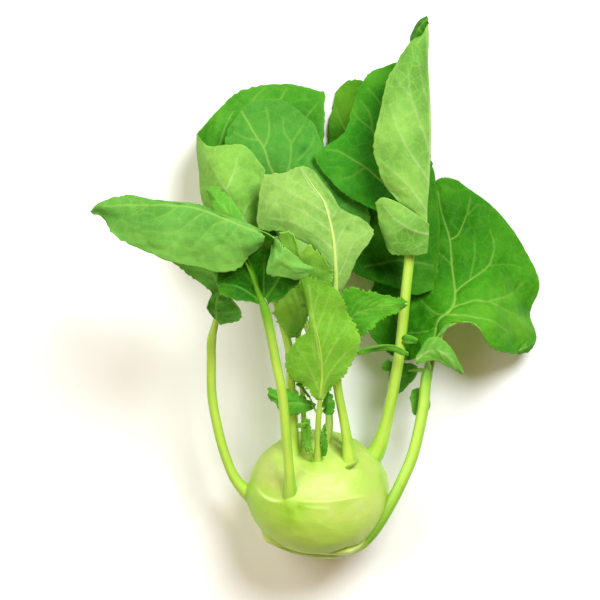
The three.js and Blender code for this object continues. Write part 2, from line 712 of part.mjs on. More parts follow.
export default kohlrabi;
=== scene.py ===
"""A kohlrabi with its leaves, lying on a pale floor. Metres; plans are drawn in millimetres."""

import math

import bmesh
import bpy
import numpy as np
from mathutils import Matrix, Vector, noise


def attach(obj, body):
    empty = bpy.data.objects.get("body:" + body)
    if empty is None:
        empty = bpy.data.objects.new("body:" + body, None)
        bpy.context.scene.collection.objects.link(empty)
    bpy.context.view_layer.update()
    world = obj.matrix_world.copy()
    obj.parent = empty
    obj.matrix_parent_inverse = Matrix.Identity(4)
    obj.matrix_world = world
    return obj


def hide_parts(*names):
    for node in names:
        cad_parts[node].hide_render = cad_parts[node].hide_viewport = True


bl_info = {
    "name": "Kohlrabi",
    "version": (1, 0, 0),
    "blender": (4, 5, 0),
    "location": "View3D > Sidebar > Kohlrabi",
    "description": "Builds a kohlrabi with its stalks and leaves",
    "category": "Add Mesh",
}

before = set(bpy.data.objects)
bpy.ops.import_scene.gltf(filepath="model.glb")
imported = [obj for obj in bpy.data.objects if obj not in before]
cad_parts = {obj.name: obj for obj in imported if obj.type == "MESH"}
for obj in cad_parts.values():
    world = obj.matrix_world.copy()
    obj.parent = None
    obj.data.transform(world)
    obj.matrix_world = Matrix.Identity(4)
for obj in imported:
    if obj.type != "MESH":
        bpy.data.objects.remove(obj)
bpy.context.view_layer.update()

MM = 0.001

# The plan is drawn as the plant is seen from VIEW_HEIGHT above PLAN_LEVEL, with the eye straight over
# VIEW_FOOT. VIEW_WIDTH of the plan fills the camera's view, on a sensor SENSOR wide.
PLAN_LEVEL = 32
VIEW_HEIGHT = 1500
VIEW_FOOT = (-9, 90)
VIEW_WIDTH = 300
SENSOR = 36

# The bulb's axis rises AXIS_RISE from the floor. ROOT_CUT is how far below its middle the knife cut is.
BULB_RADIUS = 35
BULB_HALF_HEIGHT = 28.5
AXIS_RISE = math.radians(40)
BULB_CENTRE = Vector((0, -6.5, 31.9))
ROOT_CUT = 21.5
CUT_TILT = math.radians(5)
AXIS = Vector((0, math.cos(AXIS_RISE), math.sin(AXIS_RISE)))
FRONT = Vector((0, -math.sin(AXIS_RISE), math.cos(AXIS_RISE)))

# How much a stalk's foot widens where its plan doesn't say, how far its root runs on into the bulb, how far
# the skin is drawn out below it, and how green a leaflet's stem is.
FLARE = 0.9
ROOT_LENGTH = 5
SWELL_LENGTH = 5
STEM_TINGE = -0.6

# Where the lamps point.
LAMP_AIM = Vector((0, 80, 40)) * MM


def linear(code, share=0.75):
    """A colour picked in bright light, as hexadecimal sRGB, as the linear share of light that comes back."""
    shown = [int(code[i : i + 2], 16) / 255 for i in (1, 3, 5)]
    light = [c / 12.92 if c <= 0.04045 else ((c + 0.055) / 1.055) ** 2.4 for c in shown]
    return tuple(share * c for c in light) + (1.0,)


# ---------------------------------------------------------------- settings


def colour_setting(name, description, code, share=0.75):
    """A setting that holds a colour."""
    return bpy.props.FloatVectorProperty(
        name=name, description=description, default=linear(code, share), subtype="COLOR", size=4
    )


class KohlrabiBulbSettings(bpy.types.PropertyGroup):
    skin: colour_setting("Skin", "Colour of the bulb's skin", "#cbe46c", 0.88)
    # Flush is also the colour of painted shade, and bloom that of painted light, where the tone layer calls
    # for them.
    flush: colour_setting("Flush", "Deeper green low on the bulb", "#a6d63a", 0.97)
    bloom_and_light: colour_setting("Bloom", "Palest parts of the skin", "#dfed9e", 0.85)
    cork: colour_setting("Cork", "Colour of the dried knife cut", "#c9b98a")
    relief: bpy.props.FloatProperty(
        name="Relief", description="Height of the leaf scars, 1 for life size", default=1.0, min=0, max=3
    )


class KohlrabiStalkSettings(bpy.types.PropertyGroup):
    flesh: colour_setting("Flesh", "Colour of the stalks", "#c0e650", 0.95)
    # The shade colour also paints the shade down the sides and underside of the stalks.
    shade: colour_setting("Shade", "Greener streaks along the stalks", "#80c814", 0.9)


class KohlrabiLeafSettings(bpy.types.PropertyGroup):
    thickness: bpy.props.FloatProperty(
        name="Thickness", description="Thickness of a blade", default=0.5 * MM,
        unit="LENGTH", min=0.2 * MM, max=2 * MM,
    )
    spacing: bpy.props.FloatProperty(
        name="Spacing", description="Distance between the points of a blade", default=0.65 * MM,
        unit="LENGTH", min=0.4 * MM, max=5 * MM,
    )
    vein: colour_setting("Vein", "Colour of the veins above", "#a9d860")
    under_vein: colour_setting("Under vein", "Colour of the veins below", "#cfeb9c")


class KohlrabiStageSettings(bpy.types.PropertyGroup):
    floor: colour_setting("Floor", "Colour of the floor", "#ffffff", 1)
    key: bpy.props.FloatProperty(
        name="Key light", description="Power of the main light", default=25, min=0, unit="POWER"
    )


# ---------------------------------------------------------------- shader maths


class Amount:
    """A number that varies over a surface. Arithmetic on it adds Math nodes."""

    def __init__(self, tree, socket):
        self.tree = tree
        self.socket = socket

    def math(self, operation, *values):
        """What a Math node makes of the values."""
        node = self.tree.nodes.new("ShaderNodeMath")
        node.operation = operation
        for socket, value in zip(node.inputs, values):
            if isinstance(value, Amount):
                self.tree.links.new(value.socket, socket)
            else:
                socket.default_value = value
        return Amount(self.tree, node.outputs[0])

    def __add__(self, other):
        return self.math("ADD", self, other)

    def __sub__(self, other):
        return self.math("SUBTRACT", self, other)

    def __rsub__(self, other):
        return self.math("SUBTRACT", other, self)

    def __mul__(self, other):
        return self.math("MULTIPLY", self, other)

    __radd__ = __add__
    __rmul__ = __mul__

    def clamped(self):
        """The number, kept from 0 to 1."""
        return self.math("MINIMUM", self.math("MAXIMUM", self, 0.0), 1.0)

    def between(self, low, high):
        """0 up to low, 1 from high on, and even in between."""
        return ((self - low) * (1 / (high - low))).clamped()


class Finish:
    """A material that is built up node by node."""

    def __init__(self, name, **constants):
        self.material = bpy.data.materials.new(name)
        self.material.use_nodes = True
        self.tree = self.material.node_tree
        self.shader = self.tree.nodes["Principled BSDF"]
        for socket, value in constants.items():
            self.shader.inputs[socket.replace("_", " ")].default_value = value

    def node(self, kind, settings=None, inputs=None, output=0):
        """Adds a node and gives one of its outputs."""
        node = self.tree.nodes.new("ShaderNode" + kind)
        for key, value in (settings or {}).items():
            setattr(node, key, value)
        for key, value in (inputs or {}).items():
            if isinstance(value, Amount):
                self.tree.links.new(value.socket, node.inputs[key])
            else:
                node.inputs[key].default_value = value
        return Amount(self.tree, node.outputs[output])

    def place(self):
        """Where a point is, in metres from the object's origin."""
        return self.node("TexCoord", output="Object")

    def attribute(self, name):
        """What a layer of the mesh says."""
        return self.node("Attribute", {"attribute_name": name}, output="Fac")

    def noise(self, scale, detail=4, place=None, roughness=0.55):
        inputs = {"Scale": scale, "Detail": detail, "Roughness": roughness, "Vector": place or self.place()}
        return self.node("TexNoise", inputs=inputs)

    def cells(self, scale):
        """How far a point is from the walls of a net of cells."""
        inputs = {"Scale": scale, "Vector": self.place(), "Randomness": 1.0}
        return self.node("TexVoronoi", {"feature": "DISTANCE_TO_EDGE"}, inputs)

    def mix(self, share, first, second):
        """The first colour where the share is 0, and the second where it is 1."""
        return self.node("Mix", {"data_type": "RGBA"}, {0: share, 6: first, 7: second}, output=2)

    def feed(self, socket, value):
        """Drives an input of the shader."""
        self.tree.links.new(value.socket, self.shader.inputs[socket])

    def bump(self, height, distance, strength=1.0):
        """Makes the surface look raised by the height."""
        inputs = {"Height": height, "Distance": distance, "Strength": strength}
        self.feed("Normal", self.node("Bump", inputs=inputs))


# ---------------------------------------------------------------- curves


def on_plan(points):
    """Plan points with their heights, as points in space."""
    points = np.asarray(points, float)
    shrink = 1 - (points[:, 2:] - PLAN_LEVEL) / VIEW_HEIGHT
    flat = np.array(VIEW_FOOT) + (points[:, :2] - VIEW_FOOT) * shrink
    return np.hstack([flat, points[:, 2:]])


def seen(points):
    """Where points in space fall on the plan."""
    shrink = 1 - (points[:, 2:] - PLAN_LEVEL) / VIEW_HEIGHT
    return np.array(VIEW_FOOT) + (points[:, :2] - VIEW_FOOT) / shrink


def reaching_past(rows):
    """The rows, with one more past either end that goes straight on."""
    return np.concatenate([[2 * rows[0] - rows[1]], rows, [2 * rows[-1] - rows[-2]]])


def smooth_between(four, w):
    """The place a share w of the way from the second to the third of four rows, on a smooth curve."""
    a, b, c, d = four
    straight = 2 * b + (c - a) * w
    return 0.5 * (straight + (2 * a - 5 * b + 4 * c - d) * w**2 + (3 * b - a - 3 * c + d) * w**3)


def through(points, shares):
    """Points at the given shares of a smooth curve through the points along the first axis."""
    points = np.asarray(points, float)
    held = reaching_past(points)
    along = np.clip(shares, 0, 1) * (len(points) - 1)
    step = np.minimum(along.astype(int), len(points) - 2)
    w = (along - step).reshape((-1,) + (1,) * (points.ndim - 1))
    return smooth_between([held[step + i] for i in range(4)], w)


def unit(vectors):
    """The vectors, each made one long."""
    return vectors / np.maximum(np.linalg.norm(vectors, axis=-1, keepdims=True), 1e-9)


def steps(points):
    """How long each step from point to point is."""
    return np.linalg.norm(np.diff(points, axis=0), axis=1)


def evenly(points, spacing):
    """A smooth curve through the points, as points about the spacing apart."""
    fine = through(points, np.linspace(0, 1, 40 * len(points)))
    run = np.concatenate([[0], np.cumsum(steps(fine))])
    marks = np.linspace(0, run[-1], max(3, int(run[-1] / spacing) + 1))
    return np.stack([np.interp(marks, run, fine[:, i]) for i in range(fine.shape[1])], axis=1)


def beside(points, line):
    """How far each point is from a line, at what share of the line, and 1 to its right or -1 to its left."""
    near = np.full(len(points), np.inf)
    along = np.zeros(len(points))
    right = np.ones(len(points))
    for i, (start, end) in enumerate(zip(line[:-1], line[1:])):
        way = end - start
        off = points - start
        share = np.clip(off @ way / max(way @ way, 1e-9), 0, 1)
        apart = np.linalg.norm(off - share[:, None] * way, axis=1)
        nearer = apart < near
        near = np.where(nearer, apart, near)
        along = np.where(nearer, (i + share) / (len(line) - 1), along)
        right = np.where(nearer, np.where(off[:, 1] * way[0] < off[:, 0] * way[1], 1, -1), right)
    return near, along, right


# ---------------------------------------------------------------- blades


class Blade:
    """The middle surface of a blade: lines from the stalk to the rim, side by side, joined by curves."""

    def __init__(self, plan):
        self.plan = plan
        self.lines = [on_plan(line) for line in plan["lines"]]
        fine, coarse = np.linspace(0, 1, 40), np.linspace(0, 1, 30)
        ways = [self.at(np.full_like(fine, across), fine) for across in (0.5, 0.0, 1.0)]
        rungs = [self.at(coarse, np.full_like(coarse, along)) for along in (0.25, 0.5, 0.75)]
        self.length = max(steps(way).sum() for way in ways)
        self.width = max(steps(rung).sum() for rung in rungs)

    def at(self, across, along):
        """The places at the given shares across and along."""
        rows = np.stack([through(line, along) for line in self.lines])
        picks = np.clip(across, 0, 1) * (len(self.lines) - 1)
        held = reaching_past(rows)
        step = np.minimum(picks.astype(int), len(self.lines) - 2)
        every = np.arange(len(across))
        return smooth_between([held[step + i, every] for i in range(4)], (picks - step)[:, None])

    def directions(self, across, along):
        """The way across, the way along and the normal at each point."""
        near = 1e-3
        over = self.at(np.minimum(across + near, 1), along) - self.at(np.maximum(across - near, 0), along)
        down = self.at(across, np.minimum(along + near, 1)) - self.at(across, np.maximum(along - near, 0))
        over, down = unit(over), unit(down)
        return over, down, unit(np.cross(over, down))

    def vein_lines(self):
        """Side veins that leave the midrib and curve forwards to the rim."""
        plan = self.plan
        middle = plan.get("rib", 0.5)
        share = np.linspace(0, 0.97, 30)
        lines = [self.at(np.full_like(share, middle), share)]
        for side in (0, 1):
            for i in range(plan.get("side_veins", 0)):
                start = (i + 0.2 + 0.3 * side) / plan["side_veins"] * 0.8
                share = np.linspace(0, 1, 12)
                across = middle + (side - middle) * 0.94 * share
                lines.append(self.at(across, np.minimum(start + plan.get("rise", 0.28) * share**1.2, 1)))
        return lines


def saw(run, seed, fine):
    """An uneven profile of lobes with small teeth, from about -1 to 1, along a rim."""
    warped = run + 0.35 * np.sin(run * 1.7 + seed) + 0.2 * np.sin(run * 4.1 + 2 * seed)
    part = (warped * 2.3) % 1
    teeth = 2 * np.where(part < 0.65, part / 0.65, (1 - part) / 0.35) - 1
    return np.sin(warped * 2 * math.pi) * (0.6 + 0.3 * np.sin(warped * 0.9 + seed)) + fine * teeth


# How far in from the rim the teeth, the ripples and the painted highlight along the edge go, over what
# length teeth and ripples set in along the blade, and how far from a vein the face is drawn in.
TOOTH_REACH = 5
RIPPLE_REACH = 9
RIM_HIGHLIGHT_WIDTH = 0.6
FOOT_REACH = 6
VALLEY_REACH = 2.4


def shape_rim(blade, across, along, ways, seed):
    """How far the teeth and the ripples of the rim move each point, and how far the point is from the rim."""
    plan = blade.plan
    over, down, normal = ways
    rim_across = np.minimum(across, 1 - across) * blade.width
    rim_tip = (1 - along) * blade.length
    tooth = plan.get("tooth", 0.5)
    pitch = plan.get("pitch", 7)
    fine = 0.15 if pitch > 6 else 0.5
    side = np.where(across < 0.5, -1, 1)
    free = np.where(across < 0.5, plan.get("fold") != 0, plan.get("fold") != 1)
    near_side = np.clip(1 - rim_across / TOOTH_REACH, 0, 1) ** 2 * free
    near_tip = np.clip(1 - rim_tip / TOOTH_REACH, 0, 1) ** 2
    fade = np.clip(along * blade.length / FOOT_REACH, 0, 1)
    run = along * blade.length / pitch
    moved = over * (side * near_side * fade * tooth * saw(run + 3.3 * side, seed, fine))[:, None]
    moved += down * (near_tip * tooth * saw(across * blade.width / pitch, seed + 1, fine))[:, None]
    lift = plan.get("ripple", 0.8) * np.exp(-rim_across / RIPPLE_REACH) * fade * free
    wave = np.sin(run * pitch / plan.get("wave", 22) * 2 * math.pi + side + seed)
    return moved + normal * (lift * wave)[:, None], np.minimum(rim_across, rim_tip)


def mark_veins(blade, place, flat, spacing):
    """How strongly a vein is drawn at each point, and how deep the leaf is drawn in beside it."""
    plan = blade.plan
    lines = []
    if plan.get("side_veins"):
        midrib, *others = blade.vein_lines()
        lines = [(0.55, midrib, place)] + [(0.33, line, place) for line in others]
    for width, line in plan.get("veins", []):
        lines.append((0.6 * width, evenly(np.array(line, float), spacing=2.5), flat))
    vein = np.zeros(len(place))
    valley = np.zeros(len(place))
    for width, line, points in lines:
        apart, share, _ = beside(points, line)
        fine_width = width * (1 - 0.6 * share)
        drawn = np.maximum(fine_width, 0.7 * spacing)
        weight = np.minimum(1, 0.6 + width / 2) * fine_width / drawn
        vein = np.maximum(vein, np.exp(-((apart / drawn) ** 2)) * weight)
        drawn_in = np.exp(-((apart / VALLEY_REACH) ** 2)) * (1 - 0.7 * share) * min(1, 0.55 + width)
        valley = np.maximum(valley, drawn_in)
    return vein, valley


def pucker_face(plan, place, rim, vein, valley, seed):
    """How far the face rises or sinks at each point between its veins, less near the rim."""
    pucker = np.array([noise.noise(Vector(p) * 0.11 + Vector((seed, 0, 0))) for p in place])
    crinkle = np.array([noise.noise(Vector(p) * 0.3 + Vector((0, seed, 0))) for p in place])
    face = 1 if plan.get("up", "upper") == "upper" else -1
    sunk = plan.get("valley", 0.8 if face > 0 else 0.35) * valley + 0.1 * vein
    height = (0.7 * pucker + 0.3 * crinkle) * plan.get("pucker", 1) - face * sunk
    return height * np.clip(rim / 3, 0, 1)


def leaf_sheet(bm, plan, spacing, seed, layers):
    """Adds one sheet of a blade to the mesh."""
    blade = Blade(plan)
    wide = max(6, int(blade.width / spacing))
    long = max(6, int(blade.length / spacing))
    made = bmesh.ops.create_grid(bm, x_segments=wide, y_segments=long, size=0.5)["verts"]
    across = np.array([v.co.x for v in made]) + 0.5
    along = np.array([v.co.y for v in made]) + 0.5
    ways = blade.directions(across, along)
    normal = ways[2]
    if (normal[:, 2].mean() > 0) != (plan.get("up", "upper") == "upper"):
        for face in {face for v in made for face in v.link_faces}:
            face.normal_flip()
    moved, rim = shape_rim(blade, across, along, ways, seed)
    place = blade.at(across, along) + moved
    flat = seen(place)
    vein, valley = mark_veins(blade, place, flat, spacing)
    up = np.where(normal[:, 2] > 0, 1, -1)
    place += normal * (up * pucker_face(plan, place, rim, vein, valley, seed))[:, None]
    # The tone layer holds painted light and shade: darker in hollows, folds and under other leaves, lighter
    # on lit parts of the blade, besides a few small dark blotches.
    tone = np.zeros(len(place))
    for amount, reach, point in plan.get("painted_light_and_blotches", []):
        tone += amount * np.exp(-(np.linalg.norm(flat - point, axis=1) / reach) ** 2)
    # The rim layer is the strength of the painted highlight along the edge.
    for v, p, *values in zip(made, place, vein, np.exp(-rim / RIM_HIGHLIGHT_WIDTH), tone):
        v.co = Vector(p) * MM
        for layer, value in zip(layers, values):
            v[layer] = value


def blade_piece(name, sheets, materials, spacing, thickness, seed):
    """A blade of one or more sheets, thickened, its second material on the face that is turned down."""
    bm = bmesh.new()
    layers = [bm.verts.layers.float.new(key) for key in ("vein", "rim", "tone")]
    for i, plan in enumerate(sheets):
        leaf_sheet(bm, plan, spacing / MM, seed + 1.7 * i, layers)
    for face in bm.faces:
        face.smooth = True
    piece = object_of(name, bm, materials)
    skin = piece.modifiers.new("Thickness", "SOLIDIFY")
    skin.thickness = thickness
    skin.offset = 0
    skin.material_offset = 1
    return piece


def object_of(name, bm, materials):
    """An object at the origin with the mesh and the materials."""
    mesh = bpy.data.meshes.new(name)
    bm.to_mesh(mesh)
    bm.free()
    for material in materials:
        mesh.materials.append(material)
    piece = bpy.data.objects.new(name, mesh)
    bpy.context.collection.objects.link(piece)
    return piece


# ---------------------------------------------------------------- stalks


def carried(tangents):
    """Two directions across a curve, carried along it without twist."""
    first = Vector((0, 0, 1)).cross(Vector(tangents[0])).normalized()
    sides = [first]
    for before, after in zip(tangents[:-1], tangents[1:]):
        turn = Vector(before).rotation_difference(Vector(after))
        sides.append((turn @ sides[-1]).normalized())
    sides = np.array([list(s) for s in sides])
    return sides, np.cross(tangents, sides)


def stalk_piece(name, points, radius_at, tinge_at, materials, sides=28, spacing=1.2):
    """A fleshy stalk along a curve: a grid rolled into a tube, welded at its seam and closed at its ends."""
    line = evenly(points, spacing)
    first, second = carried(unit(np.gradient(line, axis=0)))
    rings = len(line) - 1
    bm = bmesh.new()
    layers = [bm.verts.layers.float.new(key) for key in ("along", "beside", "above", "rib")]
    made = bmesh.ops.create_grid(bm, x_segments=sides, y_segments=rings, size=0.5)["verts"]
    for v in made:
        step = round((v.co.y + 0.5) * rings)
        angle = (v.co.x + 0.5) * 2 * math.pi
        share = step / rings
        radius = radius_at(share)
        groove = 1 - 0.1 * math.exp(-(((angle - math.pi / 2) / 0.5) ** 2))
        across = first[step] * math.cos(angle) + second[step] * math.sin(angle)
        v.co = Vector(line[step] + across * radius * groove) * MM
        for layer, value in zip(layers, (step * spacing, math.cos(angle), math.sin(angle), tinge_at(share))):
            v[layer] = value
    bmesh.ops.remove_doubles(bm, verts=bm.verts, dist=1e-6)
    bmesh.ops.holes_fill(bm, edges=[edge for edge in bm.edges if edge.is_boundary], sides=0)
    bmesh.ops.recalc_face_normals(bm, faces=bm.faces)
    for face in bm.faces:
        face.smooth = True
    return object_of(name, bm, materials)


# ---------------------------------------------------------------- the plan

# The points of a stalk and of a sheet's lines are plan points with their heights. Those of veins and
# tones are on the plan alone. For a leaf:
# - thick: how thick its stalk is at its foot and at its top; flare: how much the foot widens, or 0 where
#   there is no foot on the bulb; sink: how deep the root lies in the bulb; taper: over what share of its
#   length the stalk fills out
# - tinge: how pale the stalk is, or below 0 how green, by the share of its length; rib_tone: the same of
#   its rib
# - run_on: where the stalk goes on under the blade; rib: how far across the first sheet it runs on as the
#   rib, which lies under the sheet if under is set
# - tint: the colours of the upper face, of the under face and, for some, of the veins below
# For a sheet:
# - lines: from the stalk to the far rim, side by side; up: which face is turned up, the upper one if not
#   given
# - fold: the side, 0 or 1, that is folded over to the next sheet and so has no teeth
# - veins: a width and a line; side_veins: how many leave the rib on each side; rise: how far forwards
#   they go
# - tooth, pitch: how large the teeth are and how far apart; ripple, wave: how high and how long the waves
#   are
# - painted_light_and_blotches: an amount, a reach and a place, which paint shade where the amount is below 0
#   and light where it is above 0, besides a few small dark blotches; valley, pucker: how deep the veins lie
#   and how uneven the face is

# The line that the tall_right leaf is folded along, which two of its sheets share.
TALL_FOLD = [
    (54.6, 116, 52.6), (54.5, 135.5, 53), (55.5, 148, 53), (56.3, 170, 53), (56, 190, 52.5), (55, 208, 51.5),
    (55.3, 220, 51), (54.9, 229.5, 50),
]

